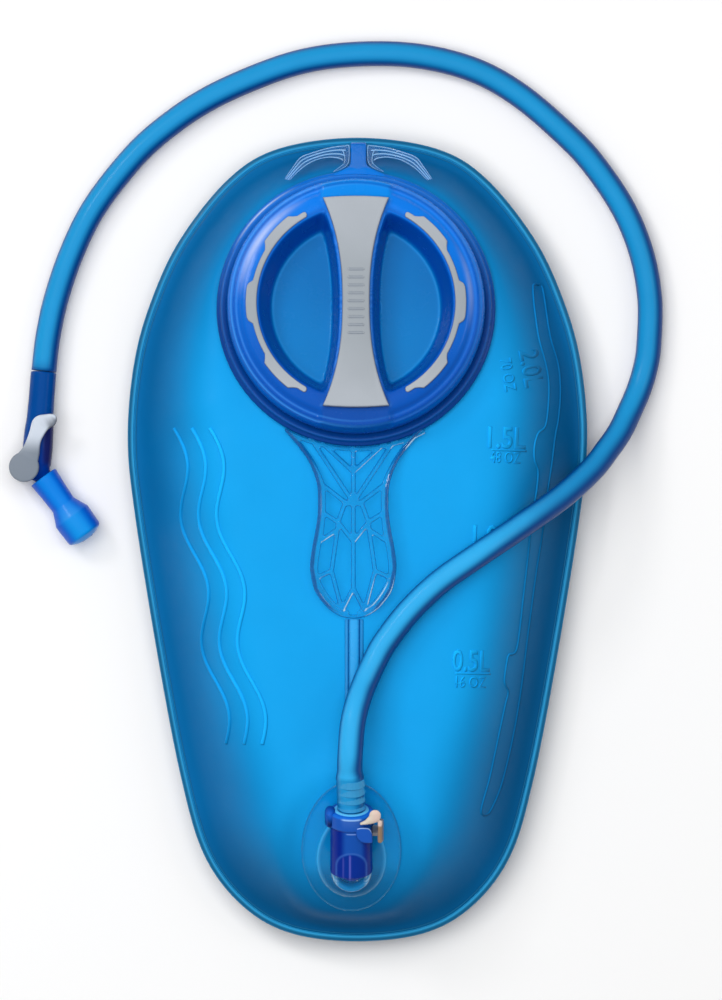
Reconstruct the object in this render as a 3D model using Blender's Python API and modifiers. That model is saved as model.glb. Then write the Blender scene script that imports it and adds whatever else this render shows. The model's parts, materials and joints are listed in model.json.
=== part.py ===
"""Two litre hydration bladder: a welded film pouch with a tethered screw cap, a webbed carry handle,
a quick-link exit port and a drinking hose that ends in a shut-off lever and a bite valve.

The bladder lies filled on its back. +Z is up, +Y runs towards the cap end and the origin is on the
surface below the middle of the pouch. Lengths are in metres, written as millimetres times MM.
"""

import math

import bmesh
import bpy
import numpy as np
from mathutils import Matrix, Vector

MM = 0.001
GAP = 0.3 * MM  # play between pieces that touch
MERGE = 0.00001  # merge distance of turned shapes

# Pouch: right half of the outline, from the middle of the cap end round to the middle of the port end
OUTLINE_HALF = [
    (0, 166.5), (32.6, 162), (53.4, 149.5), (73.4, 124.5), (85.2, 99.6), (92.3, 74.6), (95.2, 43.5),
    (92.5, 12.3), (82.5, -50), (72.8, -100), (63.4, -131), (48, -151.5), (28, -163), (0, -166.5),
]
AROUND = 52  # points round the pouch
FINE_STEPS = 6  # steps of the fine outline for each of those points
RIM_Z = 14 * MM  # mid height of the welded rim above the surface
RIM_WIDTH = 3.2 * MM
RIM_THICK = 2.8 * MM
FILM = 1.0 * MM
CROWN_Z = 52 * MM  # height of the full pouch at its middle
SHOULDER = 52 * MM  # width of the sloping side, from rim to crown
BACK_SHOULDER = 32 * MM
BACK_STEPS = [0, 4, 8, 13, 20, 30]  # insets of the back film's loops from its edge, in mm
FRONT_STEPS = [0, 5, 10, 16, 24, 36, 52]  # the same for the sloping part of the front film

# Fill port: a frame tilted towards the cap end, which its parts are turned in
COLLAR_AT = Vector((-0.6 * MM, 94.8 * MM, 43 * MM))
COLLAR_TILT = math.radians(8.5)
TURNED_SIDES = 44
RING_R = 57.4 * MM
FILM_HOLE_R = 47.3 * MM
CAP_TOP = 18 * MM
BAR_THICK = 2.6 * MM
ARC_THICK = 1.4 * MM
WELL_SHRINK = 0.8  # size of a well's floor against its mouth
WELL_MIDDLE = 24 * MM
WELL_R = 40.5 * MM
WELL_SPAN = math.radians(61)
WELL_FLOOR = 4 * MM
BAR_HALF_LENGTH = 43.2 * MM
BAR_END = 13.6 * MM  # half width of the grip bar at its ends
BAR_WAIST = 5.6 * MM
ARC_INNER_R = 40.9 * MM
ARC_OUTER_R = 43.2 * MM
ARC_BUMP = 2.1 * MM
ARC_SPAN = math.radians(60)

# Hanger wings at the cap end: they stand off the short slope, and bend where it meets the fill port
WING_LOW_Y = 166.5 * MM
WING_LOW = 19 * MM
WING_SLOPE = 4 / 3
WING_KINK_Y = 152.9 * MM
WING_THICK = 1.2 * MM
TAB_THICK = 1.6 * MM

# Carry handle, webbed, and the stiffening strip below it
HANDLE_X = -1.7 * MM
HANDLE_THICK = 2.2 * MM
HANDLE_END_Y = -31.8 * MM
HANDLE_TOP_Y = 37.4 * MM
HANDLE_RISE = 5.4 * MM
STRIP_X = -1.4 * MM
STRIP_HALF = 3.8 * MM
STRIP_LOW_Y = -100.4 * MM
STRIP_THICK = 1.4 * MM

# Exit port: a frame on the slope at the port end, its barrel axis parallel to the flange
PORT_TILT = math.radians(22)
PORT_AT = Vector((-2.5 * MM, -128 * MM, 40.8 * MM))
AXIS_H = 11.4 * MM  # height of the barrel's axis over the flange
FLANGE_HALF = (20.6 * MM, 28 * MM)
FLANGE_THICK = 1.0 * MM
PLINTH_HALF = (13.6 * MM, 19.5 * MM)
PLINTH_THICK = 1.2 * MM
PLINTH_SHIFT = -3 * MM
ELBOW_Y = (-9.9 * MM, -4.5 * MM)  # block below the barrel that the water rises through
NOZZLE_LOW = -10.1 * MM
WATER_Y = sum(ELBOW_Y) / 2
WATER_R = 2.2 * MM
NOZZLE_BORE_R = 3.7 * MM
NOZZLE_WAY_R = 6.7 * MM  # socket in the quick link that takes the nozzle
LINK_LOW = -3.8 * MM
LINK_HIGH = 23.6 * MM
BARB_END = 38 * MM
SLOT_Y = (13.2 * MM, 15.4 * MM)  # slot of the latch plate along the barrel
SLOT_END = -7.2 * MM
LATCH_THICK = 1.4 * MM
POCKET_END = -8.8 * MM  # bottom of the latch spring's pocket, a full press beyond the slot
POCKET_R = 0.95 * MM

# Drinking hose: the centre line's points by hand, from the quick link to the shut-off valve
HOSE_R = 5.2 * MM
HOSE_ROUTE = [
    (-3.1, -95.9, 65.2), (-2.9, -87, 68.0), (-1.9, -75, 67.4), (0.4, -65.5, 64.2), (3.4, -57.6, 60.6),
    (7.2, -49.4, 58.4), (11.6, -41.5, 57.8), (21.8, -28.5, 57.8), (34.3, -16.8, 57.6),
    (50.9, -5.2, 56.0), (67.6, 6.0, 48.2), (84.2, 17.7, 36.6), (96.7, 28.9, 26.6), (103.4, 37.2, 20.2),
    (108.6, 44.6, 15.0), (112.6, 52.6, 10.4), (116.8, 62.2, 7.0), (119.6, 71.5, 5.8), (121.0, 80.9, 5.5),
    (121.4, 99.6, 5.5), (118.1, 118.3, 5.5), (110.6, 137, 5.5), (98.1, 155.7, 5.5), (86.0, 168.6, 5.5),
    (67.4, 184.4, 5.5), (48.5, 194.9, 5.5), (25.5, 200.7, 5.5), (1.5, 201.6, 5.5), (-21.5, 198.8, 5.5),
    (-42.6, 191.9, 5.5), (-64.5, 181.5, 5.5), (-83.2, 168.2, 5.5), (-96.0, 155.4, 5.5),
    (-109.8, 137, 5.5), (-118.9, 118.3, 5.5), (-125.2, 99.6, 5.6), (-128.6, 83.5, 5.9),
    (-130.2, 69.9, 6.4),
]
HOSE_POINTS = 64

# Mouthpiece: shut-off valve, lever and bite valve
SLEEVE_START = Vector((-130.3 * MM, 69.4 * MM, 6.4 * MM))
ELBOW = Vector((-133.3 * MM, 30 * MM, 8.4 * MM))
HUB = Vector((-138.1 * MM, 30.1 * MM, 0))
HOUSING_R = 6.0 * MM
CORE_R = 3.9 * MM
BITE_START = Vector((-131.2 * MM, 27 * MM, 8.4 * MM))
BITE_AXIS = Vector((0.588, -0.809, 0)).normalized()
LEVER_Z = 15.8 * MM
LEVER_THICK = 2.8 * MM


# Materials and objects


def make_material(name, colour, roughness, metallic=0.0):
    """Plain Principled material."""
    material = bpy.data.materials.new(name)
    material.use_nodes = True
    shader = material.node_tree.nodes["Principled BSDF"]
    shader.inputs["Base Color"].default_value = (*colour, 1)
    shader.inputs["Roughness"].default_value = roughness
    shader.inputs["Metallic"].default_value = metallic
    return material


def add_object(name, mesh, material, matrix=Matrix()):
    """Object in the part's collection, with its origin at the matrix's place."""
    mesh.materials.clear()
    mesh.materials.append(material)
    thing = bpy.data.objects.new(name, mesh)
    thing.matrix_world = matrix
    parts.objects.link(thing)
    return thing


def add_cutter(name, mesh, matrix=Matrix()):
    """Wire-drawn helper that a Boolean reads."""
    thing = bpy.data.objects.new(name, mesh)
    thing.matrix_world = matrix
    thing.hide_render = True
    thing.display_type = "WIRE"
    cutters.objects.link(thing)
    return thing


def mesh_from(bm, name, smooth=30):
    """Mesh of a bmesh, with outward faces, smooth up to an angle in degrees."""
    bmesh.ops.recalc_face_normals(bm, faces=bm.faces)
    mesh = bpy.data.meshes.new(name)
    bm.to_mesh(mesh)
    bm.free()
    mesh.shade_smooth()
    mesh.set_sharp_from_angle(angle=math.radians(smooth))
    return mesh


def boolean(thing, cutter, operation="DIFFERENCE"):
    """Cut a cutter from a thing, or join it on."""
    modifier = thing.modifiers.new(cutter.name, "BOOLEAN")
    modifier.object = cutter
    modifier.operation = operation
    modifier.solver = "EXACT"


def box_mesh(name, low, high):
    """Box between two corners."""
    bm = bmesh.new()
    bmesh.ops.create_cube(bm, size=1)
    size = Vector(high) - Vector(low)
    bmesh.ops.scale(bm, vec=size, verts=bm.verts)
    bmesh.ops.translate(bm, vec=(Vector(low) + Vector(high)) / 2, verts=bm.verts)
    return mesh_from(bm, name)


def rod_mesh(name, radius, low, high, sides=24):
    """Closed cylinder along Z between two heights."""
    bm = bmesh.new()
    bmesh.ops.create_cone(
        bm, cap_ends=True, segments=sides, radius1=radius, radius2=radius, depth=high - low
    )
    bmesh.ops.translate(bm, vec=(0, 0, (low + high) / 2), verts=bm.verts)
    return mesh_from(bm, name)


def screw(thing, sides):
    """Turn a thing's profile about its Z axis."""
    modifier = thing.modifiers.new("turn", "SCREW")
    modifier.steps = sides
    modifier.render_steps = sides
    modifier.use_merge_vertices = True
    modifier.merge_threshold = MERGE


def turned(name, profile, material, matrix, sides=TURNED_SIDES, cutter=False):
    """Turned shape. The profile's (radius, height) points run down its outer side; one that starts
    off the axis is a ring and closes on itself."""
    mesh = bpy.data.meshes.new(name)
    count = len(profile)
    edges = [(i, i + 1) for i in range(count - 1)]
    if profile[0][0] > 0:
        edges.append((count - 1, 0))
    mesh.from_pydata([(r * MM, 0, z * MM) for r, z in profile], edges, [])
    thing = add_cutter(name, mesh, matrix) if cutter else add_object(name, mesh, material, matrix)
    screw(thing, sides)
    return thing


def o_ring(name, radius, height, section, material, matrix, sides=24):
    """Round rubber ring, sizes in millimetres."""
    profile = [
        (radius + section * math.cos(a), height + section * math.sin(a))
        for a in np.linspace(math.pi / 2, -1.5 * math.pi, 6, endpoint=False)
    ]
    return turned(name, profile, material, matrix, sides)


def axis_frame(origin, direction):
    """Frame at a point with its Z along a direction."""
    turn = Vector(direction).to_track_quat("Z", "Y").to_matrix().to_4x4()
    return Matrix.Translation(origin) @ turn


def plate(name, loops, thickness, material, matrix=Matrix(), height=None, stations=()):
    """Plate from flat outlines, the first outer and the rest holes, all in metres. With a height
    function it is bent along Y, in straight steps between the stations."""
    curve = bpy.data.curves.new(name, "CURVE")
    curve.dimensions = "2D"
    curve.fill_mode = "BOTH"
    curve.extrude = thickness / 2
    for loop in loops:
        spline = curve.splines.new("POLY")
        spline.points.add(len(loop) - 1)
        for point, (x, y) in zip(spline.points, loop):
            point.co = (x, y, 0, 1)
        spline.use_cyclic_u = True
    guide = bpy.data.objects.new(name + "_outline", curve)
    parts.objects.link(guide)
    mesh = bpy.data.meshes.new_from_object(guide.evaluated_get(bpy.context.evaluated_depsgraph_get()))
    bpy.data.objects.remove(guide)
    bm = bmesh.new()
    bm.from_mesh(mesh)
    bmesh.ops.remove_doubles(bm, verts=bm.verts, dist=MERGE / 10)
    for y in stations:
        geometry = bm.verts[:] + bm.edges[:] + bm.faces[:]
        bmesh.ops.bisect_plane(bm, geom=geometry, dist=MERGE / 10, plane_co=(0, y, 0), plane_no=(0, 1, 0))
    if height:
        for vert in bm.verts:
            vert.co.z += height(vert.co.y)
    return add_object(name, mesh_from(bm, name), material, matrix)


def coil(name, radius, wire, low, high, turns, material, matrix):
    """Coil spring about Z, from one height to another, in millimetres."""
    curve = bpy.data.curves.new(name, "CURVE")
    curve.dimensions = "3D"
    curve.bevel_depth = wire * MM
    curve.bevel_resolution = 0
    curve.use_fill_caps = True
    spline = curve.splines.new("POLY")
    count = turns * 8 + 1
    spline.points.add(count - 1)
    for i, point in enumerate(spline.points):
        angle = math.tau * i / 8
        z = low + (high - low) * i / (count - 1)
        point.co = (radius * math.cos(angle) * MM, radius * math.sin(angle) * MM, z * MM, 1)
    thing = bpy.data.objects.new(name, curve)
    curve.materials.append(material)
    thing.matrix_world = matrix
    parts.objects.link(thing)
    return thing


# Curves and heights


def smooth_path(points, steps, closed):
    """Catmull-Rom curve through points, with some steps in each span."""
    points = np.array(points, float)
    count = len(points)
    if not closed:
        points = np.vstack([2 * points[0] - points[1], points, 2 * points[-1] - points[-2]])
    out = []
    for i in range(count if closed else count - 1):
        a, b, c, d = (points[(i + k - closed) % len(points)] for k in range(4))
        for t in np.arange(steps) / steps:
            out.append(
                0.5 * (2 * b + (c - a) * t + (2 * a - 5 * b + 4 * c - d) * t * t
                       + (3 * b - a - 3 * c + d) * t ** 3)
            )
    if not closed:
        out.append(points[-2])
    return np.array(out)


def evenly(points, count, closed):
    """Points spaced evenly along a path."""
    if closed:
        points = np.vstack([points, points[:1]])
    along = np.concatenate([[0], np.cumsum(np.linalg.norm(np.diff(points, axis=0), axis=1))])
    where = np.linspace(0, along[-1], count, endpoint=not closed)
    return np.stack([np.interp(where, along, points[:, k]) for k in range(points.shape[1])], 1)


def smooth_step(u):
    """Ease from 0 to 1."""
    u = min(max(u, 0), 1)
    return u * u * (3 - 2 * u)


def shoulder_step(u):
    """Rise of a full pouch's side: flat at the weld, steepest a quarter of the way in."""
    u = min(max(u, 0), 1)
    return 1 - (1 - u) ** 4 * (1 + 4 * u)


def pouch_outline():
    """Fine closed outline of the pouch, from its stated right half."""
    half = [(x * MM, y * MM) for x, y in OUTLINE_HALF]
    mirrored = [(-x, y) for x, y in reversed(half[1:-1])]
    return evenly(smooth_path(half + mirrored, 24, True), AROUND * FINE_STEPS, True)


OUTLINE = pouch_outline()


def rim_distance(x, y):
    """Distance of a point inside the pouch from its outline."""
    start, end = OUTLINE, np.roll(OUTLINE, -1, 0)
    span = end - start
    share = np.clip(((np.array([x, y]) - start) * span).sum(1) / (span * span).sum(1), 0, 1)
    return float(np.linalg.norm(start + span * share[:, None] - [x, y], axis=1).min())


def inset_loop(distance):
    """Points round the outline, moved inwards by a distance."""
    ahead, behind = np.roll(OUTLINE, -1, 0), np.roll(OUTLINE, 1, 0)
    along = (ahead - behind) / np.linalg.norm(ahead - behind, axis=1)[:, None]
    inwards = np.stack([along[:, 1], -along[:, 0]], 1)
    return (OUTLINE + inwards * distance)[::FINE_STEPS]


def collar_plane(y):
    """Height of the fill port's base plane."""
    return COLLAR_AT.z - (y - COLLAR_AT.y) * math.tan(COLLAR_TILT)


def port_plane(y):
    """Height of the exit port's base plane."""
    return PORT_AT.z + (y - PORT_AT.y) * math.tan(PORT_TILT)


def crown(y):
    """Height of the full pouch's middle, drawn down to the tilted fill port."""
    top = CROWN_Z - 0.12 * (y - 0.03) ** 2
    plane = collar_plane(y)
    blend = 2 * MM
    share = max(blend - abs(plane - top), 0) / blend
    return min(plane, top) - share * share * blend / 4


def front_height(x, y):
    """Height of the front film's outer face."""
    rim = RIM_Z + RIM_THICK / 2 - 0.2 * MM
    to_collar = math.hypot(x - COLLAR_AT.x, y - COLLAR_AT.y) - RING_R
    if to_collar <= 0.1 * MM:
        return collar_plane(y)
    inset = max(rim_distance(x, y) - RIM_WIDTH, 0)
    width = min(SHOULDER, inset + to_collar)
    narrow = min(max(1 - (width - 15 * MM) / (30 * MM), 0), 1)
    share = inset / width
    rise = narrow * smooth_step(share) + (1 - narrow) * shoulder_step(share)
    height = rim + (crown(y) - rim) * rise
    oval = math.hypot((x - PORT_AT.x) / (21 * MM), (y - PORT_AT.y) / (27 * MM))
    flat = 1 - smooth_step((oval - 1.3) / 0.5)
    return height + (min(height, port_plane(y) - 0.8 * MM) - height) * flat


def back_height(x, y):
    """Height of the back film's outer face, flat on the surface in the middle."""
    edge = RIM_Z - RIM_THICK / 2 + 0.2 * MM
    return edge * (1 - shoulder_step((rim_distance(x, y) - RIM_WIDTH) / BACK_SHOULDER))


# Films and rim


def loft(loops, cap_last=False):
    """Quads between loops of 3D points with equal counts."""
    bm = bmesh.new()
    rings = [[bm.verts.new(p) for p in loop] for loop in loops]
    for low, high in zip(rings, rings[1:]):
        for i in range(len(low)):
            j = (i + 1) % len(low)
            bm.faces.new((low[i], low[j], high[j], high[i]))
    if cap_last:
        bm.faces.new(rings[-1])
    return bm


def solidify(thing, thickness):
    """Wall on the inner side of an open surface."""
    modifier = thing.modifiers.new("wall", "SOLIDIFY")
    modifier.thickness = thickness
    modifier.offset = -1


def aim_faces(bm, up):
    """Turn an open surface's faces up or down."""
    bm.normal_update()
    if (sum((f.normal.z * f.calc_area() for f in bm.faces)) > 0) != up:
        bmesh.ops.reverse_faces(bm, faces=bm.faces)


def make_front_film():
    """Front film: from the rim over the shoulder and the crown to the hole of the fill port."""
    rim = inset_loop(RIM_WIDTH + GAP)
    centre = np.array(COLLAR_AT.xy)
    away = rim - centre
    reach = np.linalg.norm(away, axis=1)
    ray = away / reach[:, None]
    free = reach - RING_R - 0.1 * MM
    loops = []
    for step in FRONT_STEPS:
        inwards = step * MM * np.minimum(free / (80 * MM), 1)
        loops.append(rim - ray * inwards[:, None])
    shoulder = loops[-1]
    for share in (0.33, 0.66, 1):
        loops.append(shoulder + (centre + ray * (RING_R + 0.1 * MM) - shoulder) * share)
    loops.append(centre + ray * FILM_HOLE_R)
    bm = loft([[(x, y, front_height(x, y)) for x, y in loop] for loop in loops])
    aim_faces(bm, True)
    mesh = bpy.data.meshes.new("front_film")
    bm.to_mesh(mesh)
    bm.free()
    mesh.shade_smooth()
    film = add_object("front_film", mesh, film_blue)
    solidify(film, FILM)
    hole = add_cutter("water_hole", rod_mesh("water_hole", WATER_R + 1 * MM, -8 * MM, 6 * MM), port_frame
                      @ Matrix.Translation((0, WATER_Y, 0)))
    boolean(film, hole)


def make_back_film():
    """Back film: a shallow dish that lies flat on the surface."""
    loops = [inset_loop(RIM_WIDTH + GAP + step * MM) for step in BACK_STEPS]
    points = [[(x, y, back_height(x, y)) for x, y in loop] for loop in loops]
    points[-1] = [(x, y, 0) for x, y, z in points[-1]]
    bm = loft(points, cap_last=True)
    aim_faces(bm, False)
    mesh = bpy.data.meshes.new("back_film")
    bm.to_mesh(mesh)
    bm.free()
    mesh.shade_smooth()
    solidify(add_object("back_film", mesh, film_blue), FILM)


def make_rim_weld():
    """Weld band round the pouch, with its outer corners taken off."""
    half_thick, corner = RIM_THICK / 2, 0.9 * MM
    section = [
        (0, -half_thick + corner), (0, half_thick - corner), (corner, half_thick),
        (RIM_WIDTH, half_thick), (RIM_WIDTH, -half_thick), (corner, -half_thick),
    ]
    loops = [[(x, y, RIM_Z + z) for x, y in inset_loop(inset)] for inset, z in section + section[:1]]
    bm = loft(loops)
    bmesh.ops.remove_doubles(bm, verts=bm.verts, dist=MERGE / 10)
    add_object("rim_weld", mesh_from(bm, "rim_weld"), rim_teal)


# Fill port and cap


def well_outline(side):
    """D-shaped outline of a finger well, on one side of the grip bar."""
    points = [
        (side * WELL_R * math.cos(a), WELL_R * math.sin(a))
        for a in np.linspace(-WELL_SPAN, WELL_SPAN, 13)
    ]
    for share in np.linspace(0.74, -0.74, 7):
        y = share * BAR_HALF_LENGTH
        points.append((side * (bar_half_width(y) + 1.6 * MM), y))
    return points


def bar_half_width(y):
    """Half width of the grip bar, narrow at its waist."""
    return BAR_WAIST + (BAR_END - BAR_WAIST) * min(abs(y) / BAR_HALF_LENGTH, 1) ** 2.4


def well_cutter(name, side):
    """Cutter with sloping walls from the top of the cap to a well's floor."""
    top = well_outline(side)
    centre = Vector((side * WELL_MIDDLE, 0))
    bm = bmesh.new()
    rings = []
    for height, size in ((CAP_TOP + 1 * MM, 1.0), (WELL_FLOOR, WELL_SHRINK)):
        rings.append([
            bm.verts.new((centre.x + (x - centre.x) * size, y * size, height)) for x, y in top
        ])
    for i in range(len(top)):
        j = (i + 1) % len(top)
        bm.faces.new((rings[0][i], rings[0][j], rings[1][j], rings[1][i]))
    bm.faces.new(rings[0])
    bm.faces.new(rings[1])
    return add_cutter(name, mesh_from(bm, name), collar_frame)


def make_cap():
    """Cap with two finger wells, the grey grip bar and grip arcs, and its gasket."""
    profile = [
        (0, 18), (46, 18), (49.6, 16.8), (52, 13.4), (53, 8.6), (53, 5.4), (50, 5.4), (50, 0.6),
        (46.5, 0.6), (46.5, 12.2), (40.2, 12.2), (40.2, 2.2), (0, 2.2),
    ]
    cap = turned("cap_shell", profile, cap_blue, collar_frame)
    for name, side in (("well_left", -1), ("well_right", 1)):
        boolean(cap, well_cutter(name, side))
    low, high = (-3 * MM, -32 * MM, 1 * MM), (3 * MM, 32 * MM, 14 * MM)
    boolean(cap, add_cutter("bar_hollow", box_mesh("bar_hollow", low, high), collar_frame))
    o_ring("cap_gasket", 42.7, 10.7, 1.2, seal_grey, collar_frame, 40)

    right = [(bar_half_width(y), y) for y in np.linspace(-1, 1, 13) * BAR_HALF_LENGTH]
    bar = right + [(-x, y) for x, y in reversed(right)]
    lift = Matrix.Translation((0, 0, CAP_TOP + GAP + BAR_THICK / 2))
    plate("cap_grip_bar", [bar], BAR_THICK, grip_grey, collar_frame @ lift)
    lift = Matrix.Translation((0, 0, CAP_TOP + GAP + ARC_THICK / 2))
    for name, side in (("cap_grip_arc_left", -1), ("cap_grip_arc_right", 1)):
        angles = np.linspace(-ARC_SPAN, ARC_SPAN, 29)
        inner = [(side * ARC_INNER_R * math.cos(a), ARC_INNER_R * math.sin(a)) for a in angles]
        outer = [(side * arc_outer(a) * math.cos(a), arc_outer(a) * math.sin(a)) for a in angles]
        plate(name, [inner + outer[::-1]], ARC_THICK, grip_grey, collar_frame @ lift)


def arc_outer(angle):
    """Outer radius of a grip arc, with three low bumps."""
    nearest = min(abs(angle - math.radians(at)) for at in (-43, 0, 43))
    return ARC_OUTER_R + ARC_BUMP * smooth_step((math.radians(13) - nearest) / math.radians(5))


def make_fill_port():
    """Threaded neck with its weld flange, the tether ring round it and the tether's tab."""
    neck = [
        (44.3, 9), (44.3, 7), (45.6, 6.2), (45.6, 5.2), (44.3, 4.4), (44.3, -1.3), (54, -1.3), (54, -3.8),
        (46, -4.6), (44, -8), (41, -8), (41, 9),
    ]
    turned("fill_collar", neck, collar_blue, collar_frame)
    ring = [
        (55.6, 5), (56.9, 4.3), (57.4, 2.9), (57, 1.2), (56, 0.4), (50.5, 0.4), (50.5, 5),
    ]
    turned("cap_leash_ring", ring, cap_blue, collar_frame)
    inner_y = COLLAR_AT.y + RING_R * math.cos(COLLAR_TILT) + 0.6 * MM
    tab = [
        (-2.6, 164), (3.4, 164), (3.6, inner_y / MM + 3), (7, inner_y / MM - 0.1),
        (-6.2, inner_y / MM - 0.1), (-2.8, inner_y / MM + 3),
    ]
    plate("leash_tab", [[(x * MM, y * MM) for x, y in tab]], TAB_THICK, cap_blue, height=wing_height,
          stations=(WING_KINK_Y,))


def wing_height(y):
    """Height of the hanger wings and the tether's tab over the short slope at the cap end."""
    return min(WING_LOW + (WING_LOW_Y - y) * WING_SLOPE, collar_plane(y) + 2.8 * MM)


def make_hanger_wings():
    """Two clear leaf-shaped loops that the bladder hangs from."""
    outer = [(4, 163.8), (9.2, 163.2), (18.5, 159.2), (24.4, 155.6), (29, 149.4), (27, 147.6),
             (20, 150.6), (15, 151.7), (8.4, 152.6), (4.6, 155.2)]
    slot = [(6, 155.2), (7.4, 157.6), (10.9, 158.4), (15.9, 157.4), (21, 154.4), (23.6, 151.6),
            (15.1, 153.2), (8.8, 153.7)]
    for name, side, shift in (("hanger_wing_left", -1, 0.8), ("hanger_wing_right", 1, 0)):
        loops = [[(side * x * MM + shift * MM, y * MM) for x, y in loop] for loop in (outer, slot)]
        plate(name, loops, WING_THICK, clear_plastic, height=wing_height, stations=(WING_KINK_Y,))


# Carry handle and strip


def handle_height(y):
    """Mid height of the handle: an arch over the crown that fingers pass under."""
    share = (y - HANDLE_END_Y) / (HANDLE_TOP_Y - HANDLE_END_Y)
    arch = math.sin(math.pi * min(max(share, 0), 1))
    return crown(min(y, HANDLE_TOP_Y)) + 0.9 * MM + HANDLE_THICK / 2 + HANDLE_RISE * arch


def make_handle():
    """Webbed handle from the fill port down the crown, with six openings."""
    edge = RING_R + 0.6 * MM
    top = [
        (COLLAR_AT.x + edge * math.sin(a), COLLAR_AT.y - edge * math.cos(a))
        for a in np.linspace(-0.52, 0.52, 9)
    ]
    side = [(24, 35), (17.2, 25), (14.5, 14.8), (15.6, 2), (18, -11.4), (16, -22), (9, -30)]
    right = [(HANDLE_X + x * MM, y * MM) for x, y in side]
    left = [(HANDLE_X - x * MM, y * MM) for x, y in reversed(side)]
    outline = top + right + [(HANDLE_X, HANDLE_END_Y)] + left
    cells = [
        [(1.2, 35), (18, 37.4), (13.6, 24), (1.2, 18.4)],
        [(1.4, 13), (12.2, 18.4), (11.4, 2), (7.8, 4.4)],
        [(1.2, -2), (6.8, 1.6), (11.8, -1.2), (14.8, -11.6), (12.6, -20.6), (6.6, -26.4), (1.2, -19)],
    ]
    holes = [
        [(HANDLE_X + sign * x * MM, y * MM) for x, y in cell] for cell in cells for sign in (-1, 1)
    ]
    stations = np.arange(-28, 36, 8) * MM
    plate("carry_handle", [outline] + holes, HANDLE_THICK, clear_plastic,
          height=handle_height, stations=stations)


def make_strip():
    """Stiffening strip along the crown, from the handle to the exit port."""
    high = HANDLE_END_Y - 0.8 * MM
    left, right = STRIP_X - STRIP_HALF, STRIP_X + STRIP_HALF
    outline = [(left, STRIP_LOW_Y), (right, STRIP_LOW_Y), (right, high), (left, high)]
    plate("spine_strip", [outline], STRIP_THICK, collar_blue,
          height=lambda y: crown(y) + GAP + 0.2 * MM + STRIP_THICK / 2, stations=np.arange(-90, -40, 12) * MM)


# Exit port and quick link

def oval(half_x, half_y, count, narrow):
    """Egg-shaped outline, narrower towards +Y."""
    return [
        (half_x * (1 - narrow * math.sin(a)) * math.cos(a), half_y * math.sin(a))
        for a in np.linspace(0, math.tau, count, endpoint=False)
    ]


def make_exit_port():
    """Flange on the film, elbow and nozzle, with the sprung poppet and the seal in it."""
    lift = Matrix.Translation((0, 0, GAP + FLANGE_THICK / 2))
    port = plate("exit_port", [oval(*FLANGE_HALF, 40, 0.04)], FLANGE_THICK, clear_plastic,
                 port_frame @ lift)
    raised = Matrix.Translation((0, PLINTH_SHIFT, GAP + PLINTH_THICK / 2))
    boss = plate("port_plinth", [oval(*PLINTH_HALF, 32, 0.08)], PLINTH_THICK, clear_plastic,
                 port_frame @ raised)
    as_cutter(boss)
    boolean(port, boss, "UNION")
    block = add_cutter("port_elbow", box_mesh("port_elbow", (-5.4 * MM, ELBOW_Y[0], 0.8 * MM),
                                              (5.4 * MM, ELBOW_Y[1], AXIS_H)), port_frame)
    boolean(port, block, "UNION")
    low = NOZZLE_LOW / MM
    nozzle_profile = [
        (0, 8), (5.9, 8), (6.2, 7), (6.2, 5.2), (5.0, 5.2), (5.0, 3.2), (6.2, 3.2), (6.2, low), (0, low),
    ]
    nozzle = turned("port_nozzle", nozzle_profile, None, barrel_frame, 28, cutter=True)
    boolean(port, nozzle, "UNION")
    bore = rod_mesh("port_bore", NOZZLE_BORE_R, NOZZLE_LOW + 1.4 * MM, 9 * MM)
    boolean(port, add_cutter("port_bore", bore, barrel_frame))
    boolean(port, add_cutter("port_rise", rod_mesh("port_rise", WATER_R, -3 * MM, AXIS_H),
                             port_frame @ Matrix.Translation((0, WATER_Y, 0))))
    o_ring("port_o_ring", 5.9, 4.2, 0.55, seal_grey, barrel_frame)
    poppet = [(0, 7.6), (2.9, 7.6), (3.2, 6.8), (2.6, 5.6), (0.9, 5.2), (0.9, -7), (0, -7)]
    turned("port_poppet", poppet, grip_grey, barrel_frame, 20)
    coil("port_spring", 2.4, 0.35, -8.2, 3.4, 5, spring_steel, barrel_frame)


def as_cutter(thing):
    """Move a helper out of the part."""
    parts.objects.unlink(thing)
    cutters.objects.link(thing)
    thing.hide_render = True
    thing.display_type = "WIRE"


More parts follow.
